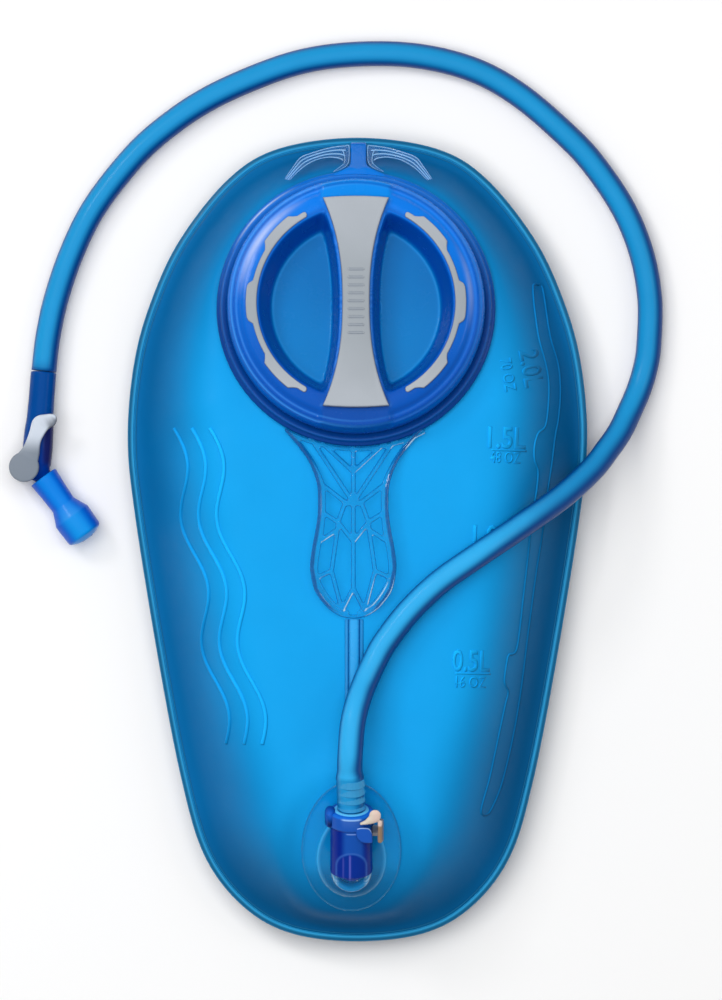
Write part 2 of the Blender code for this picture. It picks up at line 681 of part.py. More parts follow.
def make_quick_link():
    """Hose-side half of the quick link with its barb, latch plate, button and spring."""
    low, high = LINK_LOW / MM, LINK_HIGH / MM
    body = [
        (6.2, high), (8.6, high - 0.6), (9.4, high - 2), (9.4, 12), (8.8, 11.4), (8.8, low + 0.6),
        (8.4, low), (6.7, low), (6.7, 9), (3.5, 9), (3.5, high),
    ]
    link = turned("quick_link_body", body, link_navy, barrel_frame, 36)
    slot = box_mesh("latch_slot", (SLOT_END, -4.4 * MM, SLOT_Y[0]), (12 * MM, 4.4 * MM, SLOT_Y[1]))
    boolean(link, add_cutter("latch_slot", slot, barrel_frame))
    middle = Matrix.Translation((0, 0, sum(SLOT_Y) / 2))
    spring_frame = barrel_frame @ middle @ Matrix.Rotation(-math.pi / 2, 4, "Y")
    pocket = rod_mesh("spring_pocket", POCKET_R, -SLOT_END - 1 * MM, -POCKET_END, 16)
    boolean(link, add_cutter("spring_pocket", pocket, spring_frame))
    ear = box_mesh("link_ear", (2.2 * MM, -9.6 * MM, 12.2 * MM), (9.4 * MM, -5.2 * MM, 19.4 * MM))
    boolean(link, add_cutter("link_ear", ear, barrel_frame), "UNION")
    keep = rod_mesh("nozzle_way", NOZZLE_WAY_R, LINK_LOW - 1 * MM, 9 * MM, 36)
    boolean(link, add_cutter("nozzle_way", keep, barrel_frame))

    barb = [(3.1, BARB_END / MM), (5.2, BARB_END / MM - 0.4)]
    for ridge in range(4):
        base = BARB_END / MM - 3.2 - ridge * 3.4
        barb += [(5.8, base), (5.2, base - 0.5)]
    barb += [(5.2, high + 0.3), (3.1, high + 0.3), (3.1, 9.4), (2.1, 9.4), (2.1, BARB_END / MM)]
    turned("hose_barb", barb, barb_blue, barrel_frame, 20)

    hole = [(4.9 * math.cos(a), 3.6 * math.sin(a)) for a in np.linspace(0, math.tau, 20, endpoint=False)]
    outer = [(-5.6, -4), (10.9, -4), (10.9, 4), (-5.6, 4)]
    latch = [[(x * MM, y * MM) for x, y in loop] for loop in (outer, hole)]
    plate("latch_plate", latch, LATCH_THICK, grip_grey, barrel_frame @ middle)
    coil("button_spring", 0.55, 0.14, 5.85, 7.0, 2, spring_steel, spring_frame)

    side = box_mesh("release_button", (11.3 * MM, -11.8 * MM, 12 * MM), (13.2 * MM, 4.8 * MM, 28.2 * MM))
    button = add_object("release_button", side, button_tan, barrel_frame)
    lobe = [(3.6, 24), (8.5, 21.8), (12.4, 21.8), (12.4, 28.2), (9.4, 28.2), (6.6, 26)]
    lobe_plate = plate("button_lobe", [[(x * MM, y * MM) for x, y in lobe]], 2.0 * MM, button_tan,
                       port_frame @ Matrix.Translation((0, 0, AXIS_H + 10.8 * MM)))
    as_cutter(lobe_plate)
    boolean(button, lobe_plate, "UNION")
    bevel = button.modifiers.new("soft", "BEVEL")
    bevel.width = 0.5 * MM
    bevel.segments = 2
    bevel.limit_method = "ANGLE"


# Hose and mouthpiece


def make_hose():
    """Drinking hose along its route."""
    route = [[value * MM for value in point] for point in HOSE_ROUTE]
    line = evenly(smooth_path(route, 12, False), HOSE_POINTS, False)
    curve = bpy.data.curves.new("hose", "CURVE")
    curve.dimensions = "3D"
    curve.bevel_depth = HOSE_R
    curve.bevel_resolution = 2
    curve.use_fill_caps = True
    spline = curve.splines.new("POLY")
    spline.points.add(len(line) - 1)
    for point, place in zip(spline.points, line):
        point.co = (*place, 1)
    curve.materials.append(hose_blue)
    parts.objects.link(bpy.data.objects.new("hose", curve))


def make_mouthpiece():
    """Shut-off valve with its turning core and lever, and the soft bite valve."""
    along = ELBOW - SLEEVE_START
    length = along.length / MM
    sleeve_frame = axis_frame(SLEEVE_START, along)
    bite_frame = axis_frame(BITE_START, BITE_AXIS)
    hub_frame = Matrix.Translation(HUB)
    sleeve = [
        (0, length), (4.2, length), (5.8, length - 2), (5.9, length - 14), (5.5, 12), (5.3, 0.3), (0, 0.3),
    ]
    body = turned("shutoff_body", sleeve, link_navy, sleeve_frame, 24)
    boolean(body, add_cutter("housing", rod_mesh("housing", HOUSING_R, 1.6 * MM, 13.9 * MM, 28),
                             hub_frame), "UNION")
    spigot = turned("spigot", [(0, 16), (3.7, 16), (3.9, 14), (3.9, -4.6), (0, -4.6)], None, bite_frame, 24,
                    cutter=True)
    boolean(body, spigot, "UNION")
    boolean(body, add_cutter("core_bore", rod_mesh("core_bore", CORE_R + 0.2 * MM, 3 * MM, 16 * MM, 28),
                             hub_frame))
    way_in = rod_mesh("way_in", 2.4 * MM, -1 * MM, (length - 2) * MM, 20)
    boolean(body, add_cutter("way_in", way_in, sleeve_frame))
    boolean(body, add_cutter("way_out", rod_mesh("way_out", 2.4 * MM, -5 * MM, 18 * MM, 20), bite_frame))

    core = [(0, 14.1), (3.9, 14.1), (3.9, 12.6), (3.3, 12.6), (3.3, 11.4), (3.9, 11.4), (3.9, 3.3), (0, 3.3)]
    core = turned("valve_core", core, grip_grey, hub_frame, 24)
    cross = Matrix.Translation(HUB + Vector((0, 0, ELBOW.z))) @ Matrix.Rotation(math.pi / 2, 4, "X")
    boolean(core, add_cutter("core_way", rod_mesh("core_way", 2.2 * MM, -8 * MM, 8 * MM, 20), cross))
    o_ring("core_o_ring", 3.7, 12, 0.32, seal_grey, hub_frame)

    hub = [
        (HUB.x + 6.2 * MM * math.cos(a), HUB.y + 6.2 * MM * math.sin(a))
        for a in np.linspace(math.radians(110), math.radians(385), 22)
    ]
    blade = [
        (-131.8, 36), (-131.7, 40.2), (-130.4, 45.3), (-128.6, 48), (-124.3, 50.6), (-125.5, 52.1),
        (-129.1, 51.9), (-132.6, 51.2), (-134.8, 49), (-136.1, 43), (-138, 39.2),
    ]
    outline = hub + [(x * MM, y * MM) for x, y in blade]
    lever = plate("shutoff_lever", [outline], LEVER_THICK, lever_grey,
                  Matrix.Translation((0, 0, LEVER_Z)))
    bevel = lever.modifiers.new("soft", "BEVEL")
    bevel.width = 0.6 * MM
    bevel.segments = 2
    bevel.limit_method = "ANGLE"

    bite = [
        (7.4, 31.6), (7.9, 30.6), (8.1, 21.6), (5.25, 15.7), (5.7, 8), (6.2, 1.4), (4.3, 1.4), (4.3, 19),
        (6.4, 22), (6.4, 29.6), (2.6, 30.2), (2.6, 31.8),
    ]
    turned("bite_valve", bite, bite_blue, bite_frame, 22)


# Build

for old in list(bpy.data.objects):
    bpy.data.objects.remove(old)
parts = bpy.data.collections.new("hydration_bladder")
cutters = bpy.data.collections.new("cutters")
bpy.context.scene.collection.children.link(parts)
bpy.context.scene.collection.children.link(cutters)

film_blue = make_material("film_blue", (0.02, 0.36, 0.80), 0.3)
rim_teal = make_material("rim_teal", (0.02, 0.20, 0.32), 0.35)
cap_blue = make_material("cap_blue", (0.0, 0.11, 0.60), 0.25)
collar_blue = make_material("collar_blue", (0.02, 0.25, 0.65), 0.3)
grip_grey = make_material("grip_grey", (0.38, 0.39, 0.42), 0.55)
seal_grey = make_material("seal_grey", (0.20, 0.21, 0.23), 0.7)
clear_plastic = make_material("clear_plastic", (0.55, 0.75, 0.90), 0.15)
link_navy = make_material("link_navy", (0.01, 0.04, 0.30), 0.25)
barb_blue = make_material("barb_blue", (0.03, 0.30, 0.60), 0.35)
button_tan = make_material("button_tan", (0.55, 0.48, 0.40), 0.5)
spring_steel = make_material("spring_steel", (0.60, 0.60, 0.62), 0.3, 1.0)
hose_blue = make_material("hose_blue", (0.02, 0.25, 0.62), 0.3)
lever_grey = make_material("lever_grey", (0.33, 0.37, 0.43), 0.4)
bite_blue = make_material("bite_blue", (0.0, 0.18, 0.75), 0.4)

collar_frame = Matrix.Translation(COLLAR_AT) @ Matrix.Rotation(-COLLAR_TILT, 4, "X")
port_frame = Matrix.Translation(PORT_AT) @ Matrix.Rotation(PORT_TILT, 4, "X")
barrel_frame = port_frame @ Matrix.Translation((0, 0, AXIS_H)) @ Matrix.Rotation(-math.pi / 2, 4, "X")

make_front_film()
make_back_film()
make_rim_weld()
make_fill_port()
make_cap()
make_hanger_wings()
make_handle()
make_strip()
make_exit_port()
make_quick_link()
make_hose()
make_mouthpiece()
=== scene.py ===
"""Finished look of a two litre hydration bladder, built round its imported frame.

The bladder lies filled on its back, with +Z up and +Y towards the cap end. Every length is in metres,
written as millimetres times MM. Each sub-assembly is a class that makes, dresses and places its pieces.
"""

import json
import logging
import math
from collections.abc import Callable, Sequence
from dataclasses import dataclass, field
from enum import Enum
from typing import Optional

import bmesh
import bpy
import numpy as np
from mathutils import Matrix, Vector
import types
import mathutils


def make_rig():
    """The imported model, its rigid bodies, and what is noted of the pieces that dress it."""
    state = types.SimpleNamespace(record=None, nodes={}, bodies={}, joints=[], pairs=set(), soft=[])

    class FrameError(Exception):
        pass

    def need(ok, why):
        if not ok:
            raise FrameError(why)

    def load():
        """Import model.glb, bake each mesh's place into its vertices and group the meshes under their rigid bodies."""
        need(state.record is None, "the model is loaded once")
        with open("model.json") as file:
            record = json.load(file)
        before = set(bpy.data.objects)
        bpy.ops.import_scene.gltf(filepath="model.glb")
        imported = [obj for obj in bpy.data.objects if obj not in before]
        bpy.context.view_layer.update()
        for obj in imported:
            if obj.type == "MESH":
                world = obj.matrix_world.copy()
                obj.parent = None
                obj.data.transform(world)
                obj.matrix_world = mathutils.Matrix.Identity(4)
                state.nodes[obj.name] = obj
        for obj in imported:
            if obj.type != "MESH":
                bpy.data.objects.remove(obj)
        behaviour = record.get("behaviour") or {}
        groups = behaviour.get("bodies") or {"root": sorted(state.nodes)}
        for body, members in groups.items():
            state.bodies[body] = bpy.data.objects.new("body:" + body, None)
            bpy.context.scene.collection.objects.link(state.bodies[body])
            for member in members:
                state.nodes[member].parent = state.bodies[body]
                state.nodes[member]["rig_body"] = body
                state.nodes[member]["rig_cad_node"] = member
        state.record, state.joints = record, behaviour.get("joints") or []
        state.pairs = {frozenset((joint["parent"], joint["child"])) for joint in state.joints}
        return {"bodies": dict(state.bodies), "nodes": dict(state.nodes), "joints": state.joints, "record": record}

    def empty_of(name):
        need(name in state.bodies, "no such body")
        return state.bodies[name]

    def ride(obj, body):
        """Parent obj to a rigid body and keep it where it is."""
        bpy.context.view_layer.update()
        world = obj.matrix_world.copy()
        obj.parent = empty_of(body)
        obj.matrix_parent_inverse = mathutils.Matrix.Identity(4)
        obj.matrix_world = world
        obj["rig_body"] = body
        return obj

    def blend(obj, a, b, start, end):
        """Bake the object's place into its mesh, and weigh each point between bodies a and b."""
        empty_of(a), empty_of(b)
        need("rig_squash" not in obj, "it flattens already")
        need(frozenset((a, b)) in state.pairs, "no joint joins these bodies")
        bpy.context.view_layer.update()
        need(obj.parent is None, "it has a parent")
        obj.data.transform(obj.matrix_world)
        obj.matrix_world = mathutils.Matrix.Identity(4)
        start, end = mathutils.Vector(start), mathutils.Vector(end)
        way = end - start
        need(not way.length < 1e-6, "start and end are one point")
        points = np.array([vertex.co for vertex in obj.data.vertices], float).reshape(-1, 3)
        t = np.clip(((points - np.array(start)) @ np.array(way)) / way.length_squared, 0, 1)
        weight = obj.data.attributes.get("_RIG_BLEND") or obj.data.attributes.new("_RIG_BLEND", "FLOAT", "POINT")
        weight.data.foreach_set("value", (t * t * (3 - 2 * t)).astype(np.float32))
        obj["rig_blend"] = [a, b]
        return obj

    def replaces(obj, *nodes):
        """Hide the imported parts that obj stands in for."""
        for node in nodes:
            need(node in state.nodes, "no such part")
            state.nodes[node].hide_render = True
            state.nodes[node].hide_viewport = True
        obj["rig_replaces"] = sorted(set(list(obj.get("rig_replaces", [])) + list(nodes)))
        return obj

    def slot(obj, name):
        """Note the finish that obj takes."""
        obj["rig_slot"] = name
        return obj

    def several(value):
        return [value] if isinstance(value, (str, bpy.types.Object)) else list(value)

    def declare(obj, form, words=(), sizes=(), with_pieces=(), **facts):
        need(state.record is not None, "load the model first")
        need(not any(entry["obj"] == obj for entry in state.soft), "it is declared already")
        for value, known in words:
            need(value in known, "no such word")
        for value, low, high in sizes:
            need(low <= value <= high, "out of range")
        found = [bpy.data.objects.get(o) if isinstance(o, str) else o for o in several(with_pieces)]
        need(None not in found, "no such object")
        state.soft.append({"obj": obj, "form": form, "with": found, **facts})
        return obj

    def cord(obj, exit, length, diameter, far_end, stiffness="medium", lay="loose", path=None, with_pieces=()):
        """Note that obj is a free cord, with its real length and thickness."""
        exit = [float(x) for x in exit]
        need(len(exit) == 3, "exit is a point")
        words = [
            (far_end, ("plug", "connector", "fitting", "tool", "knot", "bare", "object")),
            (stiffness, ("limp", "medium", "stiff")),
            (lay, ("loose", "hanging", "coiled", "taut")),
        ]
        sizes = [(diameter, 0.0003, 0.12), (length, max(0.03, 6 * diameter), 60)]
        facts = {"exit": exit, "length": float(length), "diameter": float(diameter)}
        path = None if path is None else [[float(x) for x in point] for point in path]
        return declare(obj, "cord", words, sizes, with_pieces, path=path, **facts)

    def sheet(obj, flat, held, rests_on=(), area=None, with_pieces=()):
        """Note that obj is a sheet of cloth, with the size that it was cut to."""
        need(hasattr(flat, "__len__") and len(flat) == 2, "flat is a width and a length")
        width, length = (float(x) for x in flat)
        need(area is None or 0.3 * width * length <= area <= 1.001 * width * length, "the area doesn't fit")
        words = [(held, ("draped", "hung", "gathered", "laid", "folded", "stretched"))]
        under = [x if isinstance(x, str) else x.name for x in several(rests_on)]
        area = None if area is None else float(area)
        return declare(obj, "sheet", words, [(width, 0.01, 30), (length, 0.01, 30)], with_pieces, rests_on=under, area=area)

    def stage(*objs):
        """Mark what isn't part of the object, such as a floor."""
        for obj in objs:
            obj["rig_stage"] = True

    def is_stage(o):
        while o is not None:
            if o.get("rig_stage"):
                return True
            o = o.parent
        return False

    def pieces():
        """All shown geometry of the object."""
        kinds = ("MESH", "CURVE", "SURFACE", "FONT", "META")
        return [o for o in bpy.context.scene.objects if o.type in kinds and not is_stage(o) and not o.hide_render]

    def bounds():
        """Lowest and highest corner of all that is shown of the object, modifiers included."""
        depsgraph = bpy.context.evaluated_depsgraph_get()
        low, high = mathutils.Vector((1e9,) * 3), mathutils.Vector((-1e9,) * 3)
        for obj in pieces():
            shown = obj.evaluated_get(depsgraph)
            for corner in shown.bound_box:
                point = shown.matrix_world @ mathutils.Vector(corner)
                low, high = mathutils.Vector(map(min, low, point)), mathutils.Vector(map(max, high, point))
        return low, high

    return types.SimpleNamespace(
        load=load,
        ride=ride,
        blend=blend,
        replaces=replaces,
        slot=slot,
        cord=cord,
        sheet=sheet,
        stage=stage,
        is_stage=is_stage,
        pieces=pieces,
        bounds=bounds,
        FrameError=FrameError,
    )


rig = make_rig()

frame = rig.load()
CAD_BOX = [list(corner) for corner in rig.bounds()]
LOG = logging.getLogger("hydration_bladder")
MM = 0.001
SIZE_FILE = "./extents.json"
WELD_GAP = 0.001 * MM  # points closer than this are one point
DRIFT_PER_M = 38.0  # noise cells in a metre where a colour drifts
MARKS_PER_M = 120.0  # and where handling marks change the roughness

Point2 = tuple[float, float]
Colour = tuple[float, float, float]
Painter = Callable[[Vector, Vector], Sequence[float]]
Edges = list[bmesh.types.BMEdge]


class Body(Enum):
    """The moving bodies of the frame that a piece can ride on."""

    BLADDER = "bladder"
    RING = "cap_ring"
    CAP = "cap"
    BUTTON = "button"
    POPPET = "poppet"
    LEVER = "lever"
    MOUTH = "mouth"


class Side(Enum):
    """Left or right of the pouch's middle line, as the factor that mirrors a shape."""

    LEFT = -1
    RIGHT = 1


def ease(u: float) -> float:
    """Ease from 0 to 1 with flat ends."""
    u = min(max(u, 0.0), 1.0)
    return u * u * (3 - 2 * u)


def bell(value: float, middle: float, width: float) -> float:
    """Bell curve: 1 where a value is at the middle, and near 0 two widths away."""
    return math.exp(-((value - middle) / width) ** 2)


def mix(a: Colour, b: Colour, share: float) -> Colour:
    """Colour between two others."""
    return tuple(p + (q - p) * share for p, q in zip(a, b))


def circle(count: int) -> np.ndarray:
    """Angles spaced evenly round a circle."""
    return np.linspace(0, math.tau, count, endpoint=False)


def span_of(start: Vector, end: Vector) -> Matrix:
    """Frame in the middle between two points, its Z along the way from one to the other."""
    return Matrix.Translation((start + end) / 2) @ (end - start).to_track_quat("Z", "Y").to_matrix().to_4x4()


# Finishes


@dataclass(frozen=True)
class Finish:
    """Moulded plastic, film or rubber: a slot, a colour and the small-scale surface it shows.

    Attributes:
        slot: the record's material slot.
        colour: base colour, or None where the piece carries its own painted colour.
        roughness: mean roughness.
        roughness_drift: how far roughness wanders over the piece.
        gloss: strength of the surface's own reflection.
        coat: clear gloss on top.
        clear: whether the painted colour also says how solid the piece is.
        drift: how far the colour wanders, as a share.
        grain: strength of the fine surface grain.
        grain_size: width of one grain.
        metallic: 1 on metal.
        ior: refraction index.
    """

    slot: str
    colour: Optional[Colour] = None
    roughness: float = 0.3
    roughness_drift: float = 0.06
    gloss: float = 0.5
    coat: float = 0.0
    clear: bool = False
    drift: float = 0.06
    grain: float = 0.15
    grain_size: float = 0.5 * MM
    metallic: float = 0.0
    ior: float = 1.46

    def material(self, name: str) -> bpy.types.Material:
        """Build the node material.

        Args:
            name: the material's name.

        Returns:
            The material, shared by every piece that asks for the same name.
        """
        if name in bpy.data.materials:
            return bpy.data.materials[name]
        material = bpy.data.materials.new(name)
        material.use_nodes = True
        tree = material.node_tree
        shader = tree.nodes["Principled BSDF"]
        place = tree.nodes.new("ShaderNodeTexCoord").outputs["Object"]
        shader.inputs["Base Color"].default_value = (*(self.colour or (0.5, 0.5, 0.5)), 1)
        tree.links.new(self._wandering_colour(tree, place), shader.inputs["Base Color"])
        tree.links.new(self._wandering_roughness(tree, place), shader.inputs["Roughness"])
        if self.grain:
            tree.links.new(self._grain(tree, place), shader.inputs["Normal"])
        shader.inputs["Metallic"].default_value = self.metallic
        shader.inputs["IOR"].default_value = self.ior
        shader.inputs["Coat Weight"].default_value = self.coat
        shader.inputs["Coat Roughness"].default_value = 0.08
        shader.inputs["Specular IOR Level"].default_value = self.gloss
        if self.clear:
            paint = tree.nodes.new("ShaderNodeAttribute")
            paint.attribute_name = "paint"
            tree.links.new(paint.outputs["Alpha"], shader.inputs["Alpha"])
        return material

    @staticmethod
    def _noise(tree: bpy.types.NodeTree, place: bpy.types.NodeSocket, scale: float,
               detail: float) -> bpy.types.NodeSocket:
        """Noise of a scale, read in the piece's own coordinates."""
        noise = tree.nodes.new("ShaderNodeTexNoise")
        noise.inputs["Scale"].default_value = scale
        noise.inputs["Detail"].default_value = detail
        tree.links.new(place, noise.inputs["Vector"])
        return noise.outputs["Fac"]

    @staticmethod
    def _spread(tree: bpy.types.NodeTree, noise: bpy.types.NodeSocket, low: float,
                high: float) -> bpy.types.NodeSocket:
        """Noise stretched to run between two values."""
        spread = tree.nodes.new("ShaderNodeMapRange")
        for name, value in (("From Min", 0.3), ("From Max", 0.7), ("To Min", low), ("To Max", high)):
            spread.inputs[name].default_value = value
        tree.links.new(noise, spread.inputs["Value"])
        return spread.outputs["Result"]

    def _wandering_colour(self, tree: bpy.types.NodeTree,
                          place: bpy.types.NodeSocket) -> bpy.types.NodeSocket:
        """Base colour that drifts lighter and darker over the piece."""
        drift = self._spread(tree, self._noise(tree, place, DRIFT_PER_M, 3.0), 1 - self.drift, 1 + self.drift)
        tint = tree.nodes.new("ShaderNodeVectorMath")
        tint.operation = "SCALE"
        if self.colour is None:
            paint = tree.nodes.new("ShaderNodeAttribute")
            paint.attribute_name = "paint"
            tree.links.new(paint.outputs["Color"], tint.inputs[0])
        else:
            tint.inputs[0].default_value = self.colour
        tree.links.new(drift, tint.inputs["Scale"])
        return tint.outputs["Vector"]

    def _wandering_roughness(self, tree: bpy.types.NodeTree,
                             place: bpy.types.NodeSocket) -> bpy.types.NodeSocket:
        """Roughness that drifts with faint handling marks."""
        low = max(self.roughness - self.roughness_drift, 0.02)
        return self._spread(tree, self._noise(tree, place, MARKS_PER_M, 4.0), low,
                            self.roughness + self.roughness_drift)

    def _grain(self, tree: bpy.types.NodeTree, place: bpy.types.NodeSocket) -> bpy.types.NodeSocket:
        """Fine bump of the moulded or cast surface."""
        bump = tree.nodes.new("ShaderNodeBump")
        bump.inputs["Strength"].default_value = self.grain
        bump.inputs["Distance"].default_value = 0.05 * MM
        tree.links.new(self._noise(tree, place, 1 / self.grain_size, 2.0), bump.inputs["Height"])
        return bump.outputs["Normal"]


FILM = Finish("film_blue", None, roughness=0.42, gloss=0.09, drift=0.02, grain=0.25, grain_size=0.6 * MM)
MARKS = Finish("film_blue", None, roughness=0.34, gloss=0.15, drift=0.02, grain=0.1)
RIM = Finish("rim_teal", None, roughness=0.34, gloss=0.3, drift=0.05, grain=0.3, grain_size=0.9 * MM)
COLLAR = Finish("collar_blue", (0.01, 0.17, 0.60), roughness=0.3, coat=0.2)
STRIP = Finish("strip_blue", None, roughness=0.3, gloss=0.3, coat=0.2, drift=0.02)
CAP = Finish("cap_blue", None, roughness=0.26, roughness_drift=0.03, gloss=0.16, coat=0.16, drift=0.03,
             grain=0.06)
GRIP = Finish("grip_grey", None, roughness=0.62, gloss=0.3, drift=0.04, grain=0.5, grain_size=0.35 * MM)
SEAL = Finish("seal_grey", (0.18, 0.19, 0.21), roughness=0.6, grain=0.3)
INNER = Finish("grip_grey", (0.36, 0.39, 0.43), roughness=0.5, gloss=0.4, grain=0.2)
CLEAR = Finish("clear_plastic", None, roughness=0.12, roughness_drift=0.03, coat=0.8, clear=True,
               drift=0.02, grain=0.03)
LINK = Finish("link_navy", None, roughness=0.24, roughness_drift=0.04, gloss=0.09, coat=0.02, drift=0.03,
              grain=0.05)
BARB = Finish("barb_blue", (0.02, 0.25, 0.55), roughness=0.35)
TAN = Finish("button_tan", None, roughness=0.45, gloss=0.4, drift=0.04, grain=0.3)
STEEL = Finish("spring_steel", (0.6, 0.6, 0.62), roughness=0.28, metallic=1.0, drift=0.03, grain=0.1)
HOSE = Finish("hose_blue", None, roughness=0.34, gloss=0.16, coat=0.06, drift=0.03, grain=0.04)
LEVER = Finish("lever_grey", None, roughness=0.42, gloss=0.4, drift=0.03, grain=0.3, grain_size=0.4 * MM)
SILICONE = Finish("bite_blue", None, roughness=0.36, gloss=0.2, coat=0.08, drift=0.03, grain=0.2)


# Mesh making


class Mould:
    """Shapes bmeshes with Blender's operators, and turns them into dressed pieces."""

    @staticmethod
    def snap(verts: Sequence[bmesh.types.BMVert], points: Sequence[Vector]) -> None:
        """Move vertices onto points, in order."""
        for vert, point in zip(verts, points):
            vert.co = point

    @classmethod
    def grow(cls, loops: Sequence[Sequence[Vector]], fill_first: bool = False, fill_last: bool = False,
             closed_on_itself: bool = False) -> bmesh.types.BMesh:
        """Skin that starts as a circle of vertices and is extruded from loop to loop.

        Args:
            loops: loops of points with equal counts.
            fill_first: close the first loop with a face.
            fill_last: close the last loop with a face.
            closed_on_itself: join the last loop to the first.

        Returns:
            The bmesh of the skin, with its faces turned outwards where it is closed.
        """
        bm = bmesh.new()
        count = len(loops[0])
        verts = bmesh.ops.create_circle(bm, segments=count, radius=1)["verts"]
        cls.snap(verts, loops[0])
        edges: Edges = bm.edges[:]
        if fill_first:
            bmesh.ops.contextual_create(bm, geom=edges)
        for loop in loops[1:]:
            rank = {vert: i for i, vert in enumerate(verts)}
            made = bmesh.ops.extrude_edge_only(bm, edges=edges)["geom"]
            new = {item for item in made if isinstance(item, bmesh.types.BMVert)}
            order = [None] * count
            for vert in new:
                for edge in vert.link_edges:
                    other = edge.other_vert(vert)
                    if other in rank:
                        order[rank[other]] = vert
            verts = order
            edges = [edge for edge in made if isinstance(edge, bmesh.types.BMEdge)
                     and edge.verts[0] in new and edge.verts[1] in new]
            cls.snap(verts, loop)
        if fill_last:
            bmesh.ops.contextual_create(bm, geom=edges)
        if closed_on_itself:
            bmesh.ops.remove_doubles(bm, verts=bm.verts, dist=WELD_GAP)
        if fill_first and fill_last or closed_on_itself:
            bmesh.ops.recalc_face_normals(bm, faces=bm.faces)
        return bm

    @staticmethod
    def turn(profile: Sequence[Point2], steps: int = 128) -> bmesh.types.BMesh:
        """Full spin about Z of a profile of (radius, height) in millimetres.

        Args:
            profile: the section; one that starts off the axis closes on itself.
            steps: segments of the spin.

        Returns:
            The closed bmesh, in metres.
        """
        bm = bmesh.new()
        verts = [bm.verts.new((r * MM, 0, z * MM)) for r, z in profile]
        edges = [bm.edges.new(pair) for pair in zip(verts, verts[1:])]
        if profile[0][0] > 0:
            edges.append(bm.edges.new((verts[-1], verts[0])))
        bmesh.ops.spin(bm, geom=verts + edges, cent=(0, 0, 0), axis=(0, 0, 1), angle=math.tau,
                       steps=steps, use_merge=True)
        bmesh.ops.remove_doubles(bm, verts=bm.verts, dist=WELD_GAP)
        bmesh.ops.recalc_face_normals(bm, faces=bm.faces)
        return bm

    @staticmethod
    def plate(outline: Sequence[Point2], low: float, high: float, round_by: float,
              segments: int = 3) -> bmesh.types.BMesh:
        """Flat plate from an outline, with rounded edges.

        Args:
            outline: corners, in metres.
            low: height of the under side.
            high: height of the top.
            round_by: width of the edge rounding.
            segments: steps of the rounding.

        Returns:
            The closed bmesh.
        """
        bm = bmesh.new()
        face = bm.faces.new([bm.verts.new((x, y, low)) for x, y in outline])
        made = bmesh.ops.extrude_face_region(bm, geom=[face])["geom"]
        top = [item for item in made if isinstance(item, bmesh.types.BMVert)]
        bmesh.ops.translate(bm, verts=top, vec=(0, 0, high - low))
        bmesh.ops.recalc_face_normals(bm, faces=bm.faces)
        rims = [edge for edge in bm.edges if abs(edge.verts[0].co.z - edge.verts[1].co.z) < 0.01 * MM]
        bmesh.ops.bevel(bm, geom=rims, offset=round_by, offset_type="OFFSET", affect="EDGES",
                        segments=segments, profile=0.5, material=-1, clamp_overlap=True)
        return bm

    @staticmethod
    def bar(bm: bmesh.types.BMesh, start: Vector, end: Vector, wide: float, thick: float,
            sides: int = 16) -> None:
        """Add a round-ended bar between two points, flattened along Z.

        Args:
            bm: the bmesh that takes the bar.
            start: one end of its middle line.
            end: the other end.
            wide: half its width across.
            thick: half its thickness.
            sides: sides of the section.
        """
        rod = bmesh.new()
        bmesh.ops.create_cone(rod, cap_ends=True, segments=sides, radius1=wide, radius2=wide,
                              depth=(end - start).length, matrix=span_of(start, end))
        for point in (start, end):
            bmesh.ops.create_uvsphere(rod, u_segments=sides, v_segments=8, radius=wide,
                                      matrix=Matrix.Translation(point))
        middle = (start.z + end.z) / 2
        for vert in rod.verts:
            vert.co.z = middle + (vert.co.z - middle) * thick / wide
        Mould.absorb(bm, rod)

    @staticmethod
    def hoops(middle: Sequence[Vector], radii: Sequence[float], sides: int, flat: float = 1.0,
              closed: bool = False) -> list[list[Vector]]:
        """Loops of a tube round a middle line, level across and square to it.

        Args:
            middle: points of the middle line.
            radii: the tube's radius at each point.
            sides: points in a loop.
            flat: the loops' height as a share of their width.
            closed: whether the line runs back to its start.

        Returns:
            One loop for each point, and the first one again at the end of a closed line.
        """
        loops = []
        last = len(middle) - 1
        for i, (point, radius) in enumerate(zip(middle, radii)):
            ahead = middle[(i + 1) % len(middle)] if closed or i < last else point
            behind = middle[i - 1] if closed or i else point
            along = (ahead - behind).normalized()
            across = along.cross(Vector((0, 0, 1))).normalized()
            up = across.cross(along)
            loops.append([
                point + across * (math.cos(a) * radius) + up * (math.sin(a) * radius * flat)
                for a in circle(sides)
            ])
        return loops + loops[:1] if closed else loops

    @staticmethod
    def absorb(bm: bmesh.types.BMesh, other: bmesh.types.BMesh) -> None:
        """Add another bmesh's shape to a bmesh, and free the other."""
        spare = bpy.data.meshes.new("spare")
        other.to_mesh(spare)
        other.free()
        bm.from_mesh(spare)
        bpy.data.meshes.remove(spare)

